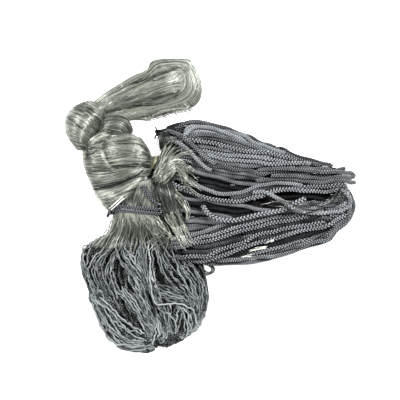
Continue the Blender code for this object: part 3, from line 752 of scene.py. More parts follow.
LEAD_BANDS = (
    # the first turns, flat on the table and over each other, dark as painted shade
    Band("inner", 38, (1.6,), 1.0, -0.12, 1.0, LEAD_BED),
    Band("inner", 8, (4.0,), 1.0, -0.05, 1.0, (
        ((-70, -50), (-70, -75), (-64, -100), (-58, -125)),
        ((-46, -50), (-40, -70), (-34, -95), (-32, -120)),
    )),
    Band("inner", 5, (4.0,), 1.0, 0.1, 1.0, (
        ((-143, -118), (-137, -138), (-127, -155), (-113, -168), (-95, -176)),
        ((-134, -118), (-129, -136), (-119, -152), (-106, -163), (-90, -171)),
    )),
    Band("inner", 17, (6.0,), 1.0, -0.14, 3.5, LEAD_MASS),
    Band("inner", 17, (10.0,), 1.0, -0.14, 4.0, LEAD_MASS),
    Band("inner", 17, (14.0, 15.0, 15.0, 13.0), 1.0, -0.12, 4.0, LEAD_MASS),
    # left side, hanging from the neck
    Band("outer", 15, (14.0, 19.0, 20.0, 17.0, 12.0), 1.0, 0.50, 2.0, (
        ((-111, -32), (-135, -39), (-158, -53), (-161, -71), (-158, -87), (-153, -104), (-146, -117)),
        ((-107, -38), (-124, -49), (-139, -64), (-145, -79), (-141, -96), (-133, -113), (-124, -129)),
        ((-103, -41), (-114, -55), (-122, -70), (-123, -87), (-116, -104), (-107, -121), (-99, -138)),
    )),
    # middle
    Band("outer", 13, (16.0, 22.0, 24.0, 24.0, 20.0, 12.0), 1.0, 0.46, 2.0, (
        ((-103, -40), (-107, -57), (-107, -76), (-99, -96), (-88, -119), (-77, -142), (-64, -166)),
        ((-88, -41), (-90, -59), (-88, -77), (-83, -98), (-75, -119), (-64, -142), (-55, -165)),
        ((-75, -41), (-77, -59), (-76, -77), (-72, -96), (-63, -117), (-54, -138), (-46, -162)),
    )),
    # right side
    Band("outer", 14, (16.0, 22.0, 22.0, 19.0, 15.0, 10.0), 1.0, 0.43, 2.0, (
        ((-71, -41), (-67, -62), (-60, -81), (-48, -100), (-35, -117), (-25, -134), (-25, -153)),
        ((-58, -40), (-48, -59), (-37, -79), (-25, -98), (-18, -115), (-18, -136), (-25, -153)),
        ((-46, -40), (-31, -59), (-18, -77), (-8, -96), (-6, -115), (-10, -138), (-24, -157)),
    )),
    # short lot that goes down to the right over the left side and the middle
    Band("outer", 8, (17.0, 24.0, 26.0, 25.0, 18.0), 1.0, 0.56, 1.8, (
        ((-121, -50), (-113, -67), (-102, -82), (-92, -97), (-84, -114)),
        ((-103, -46), (-99, -61), (-90, -76), (-80, -91), (-74, -108)),
    )),
    # lower left, a lot that comes from under the left side
    Band("outer", 11, (13.0, 19.0, 20.0, 18.0, 12.0), 1.0, 0.78, 1.8, (
        ((-151, -112), (-135, -120), (-120, -131), (-105, -145), (-88, -156), (-71, -164)),
        ((-149, -116), (-139, -129), (-127, -146), (-113, -161), (-94, -170), (-71, -170)),
        ((-148, -123), (-143, -140), (-134, -157), (-122, -171), (-101, -179), (-73, -177)),
    )),
    # lower middle
    Band("outer", 8, (14.0, 21.0, 22.0, 20.0, 12.0), 1.0, 0.7, 1.8, (
        ((-124, -102), (-111, -117), (-97, -134), (-84, -151), (-72, -167)),
        ((-107, -102), (-94, -117), (-81, -134), (-70, -151), (-59, -166)),
    )),
    # turns that lie nearly across, under the long arc
    Band("outer", 6, (14.0, 20.0, 20.0, 16.0), 1.0, 0.52, 1.0, (
        ((-76, -95), (-63, -99), (-48, -104), (-31, -111), (-18, -119)),
        ((-75, -110), (-65, -115), (-54, -119), (-39, -121), (-24, -127)),
    )),
    Band("outer", 9, (18.0, 20.0, 18.0, 12.0), 1.0, 0.72, 1.2, (
        ((-64, -124), (-60, -138), (-54, -153), (-46, -167)),
        ((-44, -123), (-39, -134), (-37, -149), (-39, -163)),
        ((-25, -130), (-23, -140), (-24, -153), (-31, -164)),
    )),
    # bottom edge
    Band("outer", 5, (12.0, 18.0, 19.0, 12.0), 1.0, 0.84, 1.2, (
        ((-73, -132), (-70, -149), (-69, -165), (-72, -175)),
        ((-56, -138), (-54, -151), (-54, -163), (-61, -172)),
    )),
    Band("outer", 4, (10.0, 13.0, 13.0, 8.0), 1.0, 0.84, 1.0, (
        ((-126, -166), (-113, -175), (-96, -179), (-80, -178), (-72, -175)),
        ((-118, -177), (-105, -181), (-90, -182), (-77, -181), (-71, -178)),
    )),
    Band("outer", 4, (12.0, 13.0, 12.0, 8.0), 1.0, 0.66, 0.8, (
        ((-9, -112), (-9, -127), (-14, -144), (-24, -156), (-39, -165)),
        ((-6, -110), (-6, -127), (-11, -145), (-22, -158), (-37, -167)),
    )),
    # long arc that lies on top
    Band("outer", 1, (20.0, 25.0, 27.0, 28.0, 28.0, 26.0, 22.0, 14.0), 1.0, 0.82, 0.4, (
        ((-78, -45), (-76, -64), (-75, -85), (-74, -104), (-71, -119), (-64, -124), (-53, -122),
         (-41, -123), (-28, -127), (-20, -136), (-18, -149)),
        ((-75, -45), (-74, -64), (-73, -85), (-72, -104), (-69, -116), (-64, -122), (-53, -121),
         (-41, -121), (-27, -125), (-17, -135), (-15, -149)),
    )),
    # small loop at the right shoulder
    Band("outer", 2, (8.0, 10.0, 11.0, 10.0, 8.0), 1.0, 0.15, 0.4, (
        ((-22, -64), (-12, -69), (-3, -73), (3, -76), (5, -80), (2, -85), (-6, -86), (-18, -83)),
        ((-22, -66), (-12, -70), (-4, -74), (1, -77), (2, -80), (0, -83), (-7, -84), (-18, -81)),
    )),
)
lead_runs, lead_bands = [], []
for number, band in enumerate(LEAD_BANDS):
    cross = LEAD_CROSSING if band.lot == "outer" and band.across > 1 else 0.0
    made = band_runs(band, 40 + number, LEAD_POINT_GAP, lift=2.0, ripple=30.0, kink=1.4, cross=cross)
    lead_runs += made
    lead_bands += [band] * len(made)
lead_runs = settle(lead_runs, LEAD_LINE / 2, rounds=55, hold=0.20, drop=0.5, soften=0.0)
# the sides of each turn are painted much darker, as the shade between the turns
lead_line_finish = braided_finish("lead_line_braid", (0.004, 0.005, 0.005, 1.0),
                                  (0.36, 0.39, 0.395, 1.0), BRAID_COLUMNS, 0.9, 0.70, 0.0003,
                                  patch=(170.0, 1.3), flanks=1.0)
for lot, pitch, sides, fullness in (("outer", 1.6, 6, 1.0), ("inner", 2.6, 5, INNER_FULLNESS)):
    picked = [(run, band) for run, band in zip(lead_runs, lead_bands) if band.lot == lot]
    clear = (0, 0, (fullness - 1) * LEAD_LINE / 2)  # so that the fuller ones stay above the table
    made = strands(f"lead_line_{lot}_turns", [run_through(run, pitch) + clear for run, _ in picked],
                   fullness * LEAD_LINE / 2, sides,
                   tones=[band.tone + chance.normal() * 0.18 for _, band in picked])
    made.data.materials.append(lead_line_finish)
    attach(made, "root")
    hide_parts("lead_line_hank")

# ---------------------------------------------------------------------------------------------------
# Webbing. Netting of thin clear-grey monofilament, gathered into a bundle and knotted on itself: each
# lock of it is a mass of filaments that lie side by side and draw up into folds, with single ones loose
# on top. Under the tie it spreads in fans over both hanks.
Lock = namedtuple("Lock", "piece level deep along strands tone crease rumple guides")
FILAMENT = 0.62
FILAMENT_WHITE = (0.75, 0.77, 0.70, 1.0)  # painted highlight, where a single one catches the light, and the colour of the white filaments
STREAKS = (0.035, 1.3, 1.0)  # to the millimetre, along the filaments and across them
FOLD_WIDTHS = ((10.0, 0.7), (5.6, 0.7), (3.2, 0.6), (1.9, 0.4))  # each one's width and height
COLUMNS_PER_MM = 0.625  # of a lock's mesh, along the filaments
ROWS_PER_MM = 7 / 3  # and across them
HUMP_WIDTHS = (13.0, 19.0, 27.0)
FOLD_PAINTED_LIGHT_AND_SHADE = 0.32  # painted light on the tops of the folds and painted shade in their bottoms: how much lighter and darker
UNDER_ROWS = 13
UNDER_SQUARENESS = 2.8  # of a lock's side and underside: 2 is an oval
UNDER_DRAWN_IN = 0.14  # share by which the underside is smaller than the rim
UNDER_SHADE = 0.3  # how much darker it is painted, as shade under the lock
UNDER_CLEAR = 0.3  # of the table
FILAMENT_CLEAR = 0.4  # of the table, at a filament's middle
TONE_SPREAD = 0.40  # from filament to filament

# level: height of the lock's rim; deep: how far its middle stands over that; along: the same along the
# filaments, or "over" where they go over a bulge from side to side; strands: loose filaments; crease and
# rumple: how deep its folds and its uneven humps are; guides: routes of filaments, from side to side
LOCKS = (
    # outer band of the bight, out along its upper edge and back along its lower one
    Lock("top_bight", 2.5, 12.0, (0.5, 0.9, 1.0, 0.8, 0.4, 0.35, 0.65, 0.8, 0.5), 180, 0.66, 0.55, 0.4, (
        ((-156, 122), (-137, 138), (-117, 151), (-97, 163), (-79, 171), (-75, 180), (-63, 184), (-29, 184),
         (-21, 176), (-14, 162), (-11, 147), (-14, 132), (-24, 124), (-42, 119), (-59, 116), (-77, 112),
         (-99, 108), (-128, 103)),
        ((-153, 119), (-136, 134), (-116, 146), (-96, 157), (-77, 167), (-68, 176), (-56, 179), (-33, 179),
         (-24, 171), (-19, 158), (-17, 147), (-22, 136), (-32, 129), (-47, 124), (-63, 121), (-79, 117),
         (-101, 112), (-129, 106)),
        ((-151, 118), (-134, 131), (-114, 141), (-94, 152), (-74, 162), (-62, 170), (-49, 174), (-37, 173),
         (-29, 166), (-26, 156), (-27, 147), (-33, 139), (-43, 133), (-56, 129), (-71, 124), (-84, 121),
         (-103, 116), (-131, 108)),
        ((-148, 117), (-133, 127), (-113, 136), (-93, 144), (-73, 153), (-59, 160), (-49, 163), (-41, 162),
         (-37, 158), (-37, 153), (-41, 147), (-48, 143), (-58, 139), (-71, 134), (-83, 129), (-96, 124),
         (-111, 119), (-133, 111)),
    )),
    # its lower lot of strands near the knot
    Lock("top_bight", 3.0, 11.0, (0.8, 1.0, 0.9, 0.5), 60, 0.64, 0.4, 0.3, (
        ((-143, 119), (-126, 128), (-106, 136), (-81, 142)),
        ((-141, 117), (-123, 123), (-103, 129), (-78, 136)),
        ((-139, 113), (-121, 118), (-101, 123), (-76, 129)),
    )),
    # its tongue, turned down and under at the tip
    Lock("top_bight", 6.0, 15.0, (0.75, 1.0, 1.0, 1.05, 1.1, 0.95, 0.2), 170, 0.64, 0.5, 0.4, (
        ((-146, 121), (-121, 136), (-94, 149), (-69, 160), (-51, 168), (-38, 170), (-32, 166)),
        ((-144, 119), (-119, 132), (-92, 144), (-67, 156), (-49, 163), (-37, 164), (-31, 161)),
        ((-143, 118), (-118, 128), (-91, 139), (-66, 149), (-48, 156), (-37, 157), (-31, 154)),
        ((-142, 116), (-117, 124), (-89, 134), (-64, 143), (-48, 148), (-38, 149), (-33, 147)),
        ((-141, 114), (-116, 121), (-89, 129), (-66, 136), (-51, 140), (-42, 142), (-37, 142)),
    )),
    # flap under its lower edge
    Lock("top_bight", 2.0, 6.0, (0.8, 1.0, 1.0, 0.7), 40, 0.7, 0.5, 0.3, (
        ((-138, 122), (-116, 122), (-93, 122), (-76, 117)),
        ((-137, 116), (-114, 116), (-92, 116), (-74, 112)),
        ((-136, 108), (-113, 108), (-91, 108), (-75, 106)),
    )),
    # left bulge: turns that go over the knot from its left edge down to the right
    Lock("knots", 17.0, 22.0, "over", 190, 0.42, 0.38, 0.25, (
        ((-153, 131), (-147, 130), (-141, 127), (-134, 122), (-131, 117)),
        ((-166, 127), (-156, 124), (-146, 118), (-137, 111), (-133, 103)),
        ((-177, 118), (-164, 114), (-152, 107), (-143, 99), (-139, 93)),
        ((-182, 106), (-171, 102), (-158, 96), (-149, 89), (-144, 84)),
        ((-181, 91), (-172, 88), (-163, 84), (-154, 81), (-149, 77)),
        ((-174, 78), (-167, 76), (-161, 74), (-156, 72), (-152, 71)),
        ((-167, 70), (-163, 69), (-161, 69), (-158, 69), (-156, 68)),
    )),
    # small bulge: turns that come over it and down its right side
    Lock("knots", 15.0, 19.0, "over", 90, 0.42, 0.42, 0.25, (
        ((-139, 107), (-127, 111), (-113, 112), (-102, 106), (-96, 94)),
        ((-142, 98), (-128, 104), (-114, 104), (-104, 99), (-98, 89)),
        ((-142, 89), (-129, 96), (-116, 96), (-108, 92), (-103, 85)),
        ((-139, 81), (-129, 87), (-118, 88), (-112, 84), (-108, 79)),
    )),
    # right side of the middle bulge
    Lock("knots", 20.0, 22.0, "over", 160, 0.54, 0.55, 0.9, (
        ((-131, 82), (-116, 87), (-102, 89), (-91, 86), (-84, 82)),
        ((-137, 74), (-117, 79), (-97, 80), (-83, 76), (-77, 71)),
        ((-141, 66), (-119, 71), (-97, 71), (-79, 67), (-73, 61)),
        ((-139, 57), (-119, 61), (-97, 62), (-79, 59), (-73, 54)),
        ((-134, 49), (-117, 53), (-98, 54), (-82, 53), (-74, 49)),
        ((-128, 43), (-114, 46), (-99, 47), (-87, 47), (-78, 46)),
    )),
    # its left side
    Lock("knots", 18.0, 19.0, "over", 110, 0.50, 0.7, 1.4, (
        ((-157, 74), (-148, 79), (-136, 77), (-123, 71)),
        ((-160, 66), (-149, 69), (-134, 67), (-119, 63)),
        ((-160, 56), (-148, 58), (-133, 57), (-117, 56)),
        ((-158, 47), (-146, 48), (-131, 48), (-113, 48)),
        ((-154, 39), (-141, 41), (-126, 42), (-109, 43)),
    )),
    # lower lot, as far as the thread round it
    Lock("knots", 16.0, 20.0, "over", 120, 0.46, 0.6, 1.2, (
        ((-158, 46), (-139, 44), (-116, 46), (-92, 49), (-74, 53)),
        ((-155, 38), (-138, 36), (-116, 39), (-93, 44), (-73, 49)),
        ((-151, 29), (-134, 30), (-114, 34), (-92, 41), (-73, 46)),
        ((-146, 19), (-132, 21), (-113, 26), (-92, 34), (-74, 39)),
    )),
    # turns in the hollow between the three bulges
    Lock("knots", 20.0, 12.0, "over", 60, 0.62, 0.6, 1.5, (
        ((-156, 74), (-151, 83), (-142, 89), (-133, 93), (-126, 93)),
        ((-153, 69), (-147, 78), (-139, 84), (-131, 87), (-123, 87)),
        ((-149, 64), (-143, 72), (-136, 78), (-128, 81), (-121, 81)),
    )),
    # turns under the thread, which run up to the right and narrow towards the tie
    Lock("knots", 14.0, 17.0, "over", 110, 0.60, 0.45, 1.0, (
        ((-147, 22), (-132, 24), (-113, 31), (-94, 39), (-78, 44)),
        ((-144, 12), (-131, 13), (-114, 19), (-98, 26), (-83, 32)),
        ((-139, 4), (-128, 7), (-116, 11), (-103, 17), (-89, 23)),
        ((-132, -4), (-126, 0), (-118, 4), (-109, 8), (-99, 13)),
        ((-127, -8), (-124, -5), (-120, -2), (-116, 1), (-111, 3)),
    )),
    # and the turns behind, seen between them and the fans
    Lock("knots", 12.0, 11.0, (1.0, 1.0, 0.9, 0.8), 70, 0.30, 0.7, 0.5, (
        ((-116, 19), (-116, 8), (-116, -1), (-116, -9)),
        ((-99, 24), (-99, 12), (-101, 1), (-101, -9)),
        ((-83, 32), (-83, 16), (-87, 3), (-88, -9)),
        ((-72, 34), (-71, 17), (-72, 2), (-74, -9)),
        ((-63, 32), (-61, 16), (-61, 2), (-63, -9)),
    )),
    # cream lot at the left edge of the fans, paler and duller than the rest
    Lock("cream", 9.0, 12.0, (0.7, 1.0, 0.7), 0, 0.75, 0.1, 0.2, (
        ((-74, 61), (-75, 54), (-78, 46)),
        ((-68, 62), (-69, 54), (-73, 46)),
        ((-61, 63), (-64, 54), (-68, 46)),
    )),
    # dark tangle beside the float line
    Lock("fans", 8.0, 14.0, (0.6, 1.0, 1.0, 0.8), 60, -0.30, 1.0, 1.0, (
        ((-64, 91), (-65, 83), (-64, 76), (-62, 68)),
        ((-57, 93), (-57, 86), (-57, 78), (-57, 71)),
        ((-48, 93), (-48, 87), (-49, 79), (-52, 72)),
    )),
    # dark ones in the cleft beside the knots, painted dark as the shade in the cleft
    Lock("fans", 3.0, 8.0, (0.6, 1.0, 1.0, 0.8), 20, -0.35, 0.6, 0.3, (
        ((-83, 49), (-81, 39), (-79, 29), (-78, 19)),
        ((-76, 49), (-73, 39), (-72, 29), (-71, 19)),
        ((-67, 49), (-66, 39), (-64, 29), (-63, 19)),
    )),
    # neck under the tie
    Lock("fans", 4.0, 22.0, (0.97, 1.0, 0.92, 0.6, 0.05), 130, 0.74, 0.3, 0.5, (
        ((-122, -1), (-122, -12), (-124, -23), (-129, -34)),
        ((-111, -1), (-109, -13), (-111, -27), (-114, -39)),
        ((-96, -1), (-94, -13), (-93, -28), (-93, -42)),
        ((-81, -1), (-77, -12), (-73, -26), (-71, -38)),
        ((-68, 1), (-62, -9), (-56, -21), (-51, -31)),
    )),
    # light lot folded over at its right
    Lock("fans", 19.0, 7.0, (0.8, 1.0, 0.9, 0.3), 40, 0.70, 0.3, 0.3, (
        ((-91, -8), (-84, -17), (-77, -27), (-69, -37)),
        ((-83, -7), (-77, -14), (-68, -23), (-59, -33)),
        ((-76, -7), (-69, -13), (-62, -21), (-53, -29)),
    )),
    # smooth dark part at the right of the neck
    Lock("fans", 12.0, 17.0, (0.7, 1.0, 1.0, 0.9, 0.3), 90, 0.02, 0.25, 0.3, (
        ((-74, 29), (-69, 16), (-64, 1), (-58, -14), (-53, -27)),
        ((-66, 31), (-61, 14), (-56, -2), (-51, -17), (-46, -29)),
        ((-56, 31), (-51, 14), (-47, -2), (-43, -16), (-37, -29)),
        ((-46, 28), (-41, 14), (-38, 1), (-36, -12), (-29, -26)),
    )),
    # fan over the left ends of the float line
    Lock("fans", 12.0, 17.0, (0.6, 0.95, 1.0, 0.7, 0.1), 40, -0.12, 1.0, 1.0, (
        ((-76, 22), (-73, 34), (-68, 48), (-63, 63), (-58, 74)),
        ((-72, 22), (-67, 37), (-59, 51), (-51, 64), (-44, 73)),
        ((-68, 22), (-61, 37), (-51, 49), (-41, 59), (-32, 62)),
        ((-63, 21), (-54, 33), (-46, 42), (-38, 47), (-29, 47)),
        ((-57, 19), (-49, 27), (-43, 33), (-37, 36), (-32, 33)),
    )),
)
# loose filaments that spread over the hanks from under the tie and the knots, and lots of them that are
# painted dark as the shade in the folds, or white, some as painted highlights; here bold is how high they
# stand
SPRAYS = (
    # from the neck down over the lead line
    Band("fans", 84, (24.0, 18.0, 5.0), 1.0, 0.70, 3.0, (
        ((-122, -13), (-127, -27), (-139, -41), (-156, -56)),
        ((-111, -13), (-113, -29), (-121, -44), (-128, -58)),
        ((-96, -13), (-94, -31), (-97, -47), (-101, -61)),
        ((-81, -13), (-76, -29), (-69, -43), (-62, -56)),
        ((-68, -9), (-61, -21), (-51, -33), (-41, -46)),
    )),
    # white ends of the dark part, down to the right
    Band("fans", 24, (20.0, 20.0, 5.0), 1.0, 1.15, 3.0, (
        ((-57, -8), (-51, -23), (-42, -39), (-33, -58)),
        ((-49, -6), (-44, -19), (-36, -34), (-26, -52)),
        ((-42, -1), (-37, -14), (-29, -29), (-19, -47)),
    )),
    # a few more at its right edge
    Band("fans", 14, (20.0, 18.0, 5.0), 1.0, 0.95, 1.5, (
        ((-46, 12), (-38, 2), (-31, -8), (-31, -21)),
        ((-41, 19), (-32, 7), (-26, -7), (-28, -18)),
    )),
    # over the right edge of the fan and down
    Band("fans", 30, (20.0, 20.0, 5.0), 1.0, 0.85, 2.6, (
        ((-71, 32), (-57, 48), (-43, 57), (-31, 51), (-26, 29)),
        ((-67, 28), (-53, 42), (-42, 51), (-33, 42), (-29, 24)),
        ((-63, 24), (-51, 36), (-42, 43), (-37, 34), (-33, 19)),
    )),
    # up and over the ends of the float line
    Band("fans", 30, (20.0, 20.0, 5.0), 1.0, 0.7, 2.8, (
        ((-73, 27), (-68, 47), (-59, 67), (-48, 83)),
        ((-68, 29), (-59, 51), (-48, 67), (-33, 77)),
        ((-63, 32), (-51, 49), (-36, 62), (-16, 63)),
    )),
    # across the ends of the float line, to the right
    Band("fans", 20, (20.0, 18.0, 5.0), 1.0, 0.75, 2.6, (
        ((-46, 57), (-28, 53), (-16, 42)),
        ((-43, 39), (-28, 34), (-13, 24)),
        ((-41, 22), (-27, 17), (-13, 7)),
    )),
    # dark ones above the fan
    Band("fans", 22, (16.0, 18.0, 5.0), 1.0, -0.1, 2.0, (
        ((-63, 69), (-66, 81), (-63, 91)),
        ((-58, 69), (-58, 79), (-51, 89)),
        ((-53, 69), (-47, 79), (-34, 86)),
    )),
    # curls between the neck and the lead line
    Band("fans", 4, (20.0, 20.0, 5.0), 1.0, 0.85, 2.5, (
        ((-78, -29), (-67, -36), (-58, -44), (-63, -56)),
        ((-72, -26), (-59, -32), (-51, -42), (-56, -54)),
    )),
    # and the other way
    Band("fans", 4, (20.0, 20.0, 5.0), 1.0, 0.75, 2.5, (
        ((-56, -28), (-61, -39), (-73, -44), (-81, -53)),
        ((-49, -31), (-54, -43), (-67, -51), (-76, -58)),
    )),
    # thin ones over the lower hollow
    Band("fans", 6, (34.0, 30.0, 5.0), 1.0, 0.35, 2.5, (
        ((72, 11), (93, 8), (112, 2), (137, 1)),
        ((64, 3), (87, -1), (112, -9), (144, -7)),
    )),
    # and in the eye at the tip
    Band("fans", 8, (20.0, 20.0, 5.0), 1.0, 0.3, 1.5, (
        ((139, -1), (153, 3), (163, 12), (169, 22)),
        ((122, 1), (139, 6), (149, 13), (154, 22)),
    )),
    # white ones on the lower lobe
    Band("fans", 14, (30.0, 30.0, 20.0), 1.0, 2.4, 0.5, (
        ((46, -56), (57, -53), (71, -50)),
        ((47, -58), (58, -55), (69, -53)),
    )),
    # and beside them
    Band("fans", 8, (30.0, 30.0, 20.0), 1.0, 2.4, 0.4, (
        ((36, -63), (43, -62), (52, -61)),
        ((37, -64), (44, -64), (51, -64)),
    )),
    # and over them
    Band("fans", 8, (30.0, 30.0, 20.0), 1.0, 2.4, 0.4, (
        ((66, -47), (72, -44), (78, -42)),
        ((68, -48), (73, -45), (78, -44)),
    )),
    # ragged edge of the bight
    Band("fans", 26, (4.0, 5.0, 5.0, 4.0), 1.0, 0.7, 2.2, (
        ((-76, 111), (-58, 115), (-41, 119), (-23, 123)),
        ((-73, 113), (-57, 118), (-41, 121), (-24, 126)),
    )),
    # tufts that stand out from it
    Band("fans", 34, (6.0, 4.0, 2.0), 1.0, 0.45, 1.6, (
        ((-88, 117), (-79, 112), (-69, 108)),
        ((-63, 121), (-54, 116), (-46, 111)),
        ((-43, 127), (-34, 121), (-27, 116)),
        ((-28, 134), (-21, 127), (-14, 123)),
    )),
    # dark ones in the fold above the tongue, painted shade
    Band("fans", 12, (12.0, 12.0, 12.0), 0.4, 0.12, 0.4, (
        ((-111, 149), (-78, 161), (-63, 167), (-48, 172), (-33, 178)),
        ((-111, 147), (-77, 159), (-62, 165), (-47, 170), (-32, 174)),
    )),
    # and below it, painted shade too
    Band("fans", 14, (12.0, 12.0, 12.0), 0.4, 0.12, 0.5, (
        ((-96, 127), (-69, 129), (-56, 134), (-46, 139), (-38, 146)),
        ((-94, 124), (-68, 126), (-53, 131), (-43, 136), (-36, 144)),
    )),
    # short dark ones on its back, painted shade
    Band("fans", 8, (12.0, 12.0, 12.0), 0.4, 0.2, 0.6, (
        ((-76, 156), (-66, 158), (-57, 162)),
        ((-74, 153), (-64, 156), (-56, 158)),
    )),
    # white ones that bend up at its tip, a painted highlight
    Band("fans", 22, (12.0, 12.0, 12.0), 0.4, 1.35, 0.6, (
        ((-57, 159), (-51, 166), (-44, 169)),
        ((-51, 153), (-44, 159), (-39, 166)),
        ((-44, 148), (-38, 154), (-34, 159)),
    )),
    # dark lines across the left bulge, painted shade in its creases
    Band("fans", 8, (30.0, 30.0, 30.0), 0.3, -0.05, 0.3, (
        ((-181, 113), (-171, 106), (-161, 99), (-152, 94)),
        ((-181, 111), (-171, 104), (-161, 97), (-153, 92)),
    )),
    # and a thinner one above them, painted shade too
    Band("fans", 4, (30.0, 30.0, 30.0), 0.3, 0.1, 0.3, (
        ((-162, 127), (-153, 122), (-143, 116), (-136, 110)),
        ((-162, 126), (-153, 121), (-143, 114), (-137, 109)),
    )),
    # dark ones in the hollow below it, painted shade
    Band("fans", 14, (30.0, 30.0, 30.0), 0.3, 0.1, 1.0, (
        ((-159, 66), (-151, 71), (-141, 73)),
        ((-158, 58), (-149, 63), (-139, 66)),
    )),
    # and painted shade at the right end of the middle bulge
    Band("fans", 20, (30.0, 30.0, 30.0), 0.3, 0.12, 1.0, (
        ((-88, 74), (-81, 71), (-76, 66)),
        ((-86, 62), (-78, 59), (-73, 57)),
        ((-87, 51), (-79, 49), (-74, 48)),
    )),
)


def folds(across, along, seed):
    """Height of the folds at distances across the filaments and along them: round tops, sharp creases."""
    chance = np.random.default_rng(seed)
    height = np.zeros((len(across), len(along)))
    for wide, deep in FOLD_WIDTHS:
        for _ in range(2):
            wide_here = wide * chance.uniform(0.8, 1.25)
            drift = np.zeros(len(along))
            for wave in (40.0, 90.0):
                turns = along / (wave * chance.uniform(0.7, 1.4)) + chance.random()
                drift += 0.35 * wide * np.sin(2 * math.pi * turns)
            turns = along / chance.uniform(35, 80) + chance.random()
            strength = 0.65 + 0.35 * np.sin(2 * math.pi * turns)
            phase = (across[:, None] + drift[None, :]) / wide_here + chance.random()
            height += 0.5 * deep * strength[None, :] * (np.abs(np.sin(math.pi * phase)) - 0.64)
    return height


def humps(across, along, seed):
    """Uneven rises and hollows of about a finger's width, as the drawn-up netting has."""
    chance = np.random.default_rng(seed + 500)
    height = np.zeros((len(across), len(along)))
    for wide in HUMP_WIDTHS:
        for _ in range(2):
            turn = chance.uniform(0, math.pi)
            way = across[:, None] * math.cos(turn) / wide + along[None, :] * math.sin(turn) / wide
            height += np.sin(2 * math.pi * (way + chance.random())) / 6
    return height


def lock_surface(lock, seed):
    """Places on top of the lock and its normals: rows across the filaments, columns along them."""
    guides = np.array(lock.guides, float).transpose(1, 0, 2)
    fine = smooth_between(guides, np.linspace(0, len(guides) - 1, 12 * (len(guides) - 1) + 1))
    steps = np.linalg.norm(np.diff(fine, axis=0), axis=2)
    reach = np.vstack([np.zeros(fine.shape[1]), np.cumsum(steps, axis=0)])
    columns = max(12, round(reach[-1].mean() * COLUMNS_PER_MM))
    t = np.linspace(0.03, 0.97, columns)
    share = (1 - np.cos(math.pi * t)) / 2 if lock.along == "over" else np.linspace(0, 1, columns)
    rows = np.stack([[np.interp(share * reach[-1, g], reach[:, g], fine[:, g, k]) for k in (0, 1)]
                     for g in range(fine.shape[1])]).transpose(0, 2, 1)
    wide = np.linalg.norm(np.diff(rows, axis=0), axis=2).sum(0).max()
    count = max(16, round(wide * ROWS_PER_MM))
    s = np.linspace(0, 1, count)
    plan = smooth_between(rows, (1 - np.cos(math.pi * s)) / 2 * (len(rows) - 1))
    if lock.along == "over":
        rim = math.sin(math.pi * t[0])
        rise = (np.sin(math.pi * t) - rim) / (1 - rim)
    else:
        rise = smooth_between(np.array(lock.along), np.linspace(0, len(lock.along) - 1, columns))
    height = lock.level + lock.deep * np.sin(math.pi * s)[:, None] * rise[None, :]
    places = np.dstack([plan, height])
    normals = np.cross(np.gradient(places, axis=1), np.gradient(places, axis=0))
    normals *= np.sign(normals[..., 2].mean())
    normals /= np.linalg.norm(normals, axis=2)[..., None] + 1e-9
    across = np.concatenate([[0], np.cumsum(np.linalg.norm(np.diff(places, axis=0), axis=2).mean(1))])
    along = np.concatenate([[0], np.cumsum(np.linalg.norm(np.diff(places, axis=1), axis=2).mean(0))])
    relief = lock.crease * folds(across, along, seed) + lock.rumple * humps(across, along, seed)
    relief *= np.sin(math.pi * s)[:, None] ** 0.5
    if lock.along == "over":
        relief *= rise[None, :] ** 0.25
    places += normals * relief[..., None]
    places[..., 2] = np.maximum(places[..., 2], FILAMENT_CLEAR)
    return places, normals, relief, across, along


def plan_turn(places):
    """Whether the surface's rows and columns turn left (over 0) or right on the plan."""
    along = np.diff(places[:-1], axis=1)[..., :2]
    across = np.diff(places[:, :-1], axis=0)[..., :2]
    return (along[..., 0] * across[..., 1] - along[..., 1] * across[..., 0]).sum()


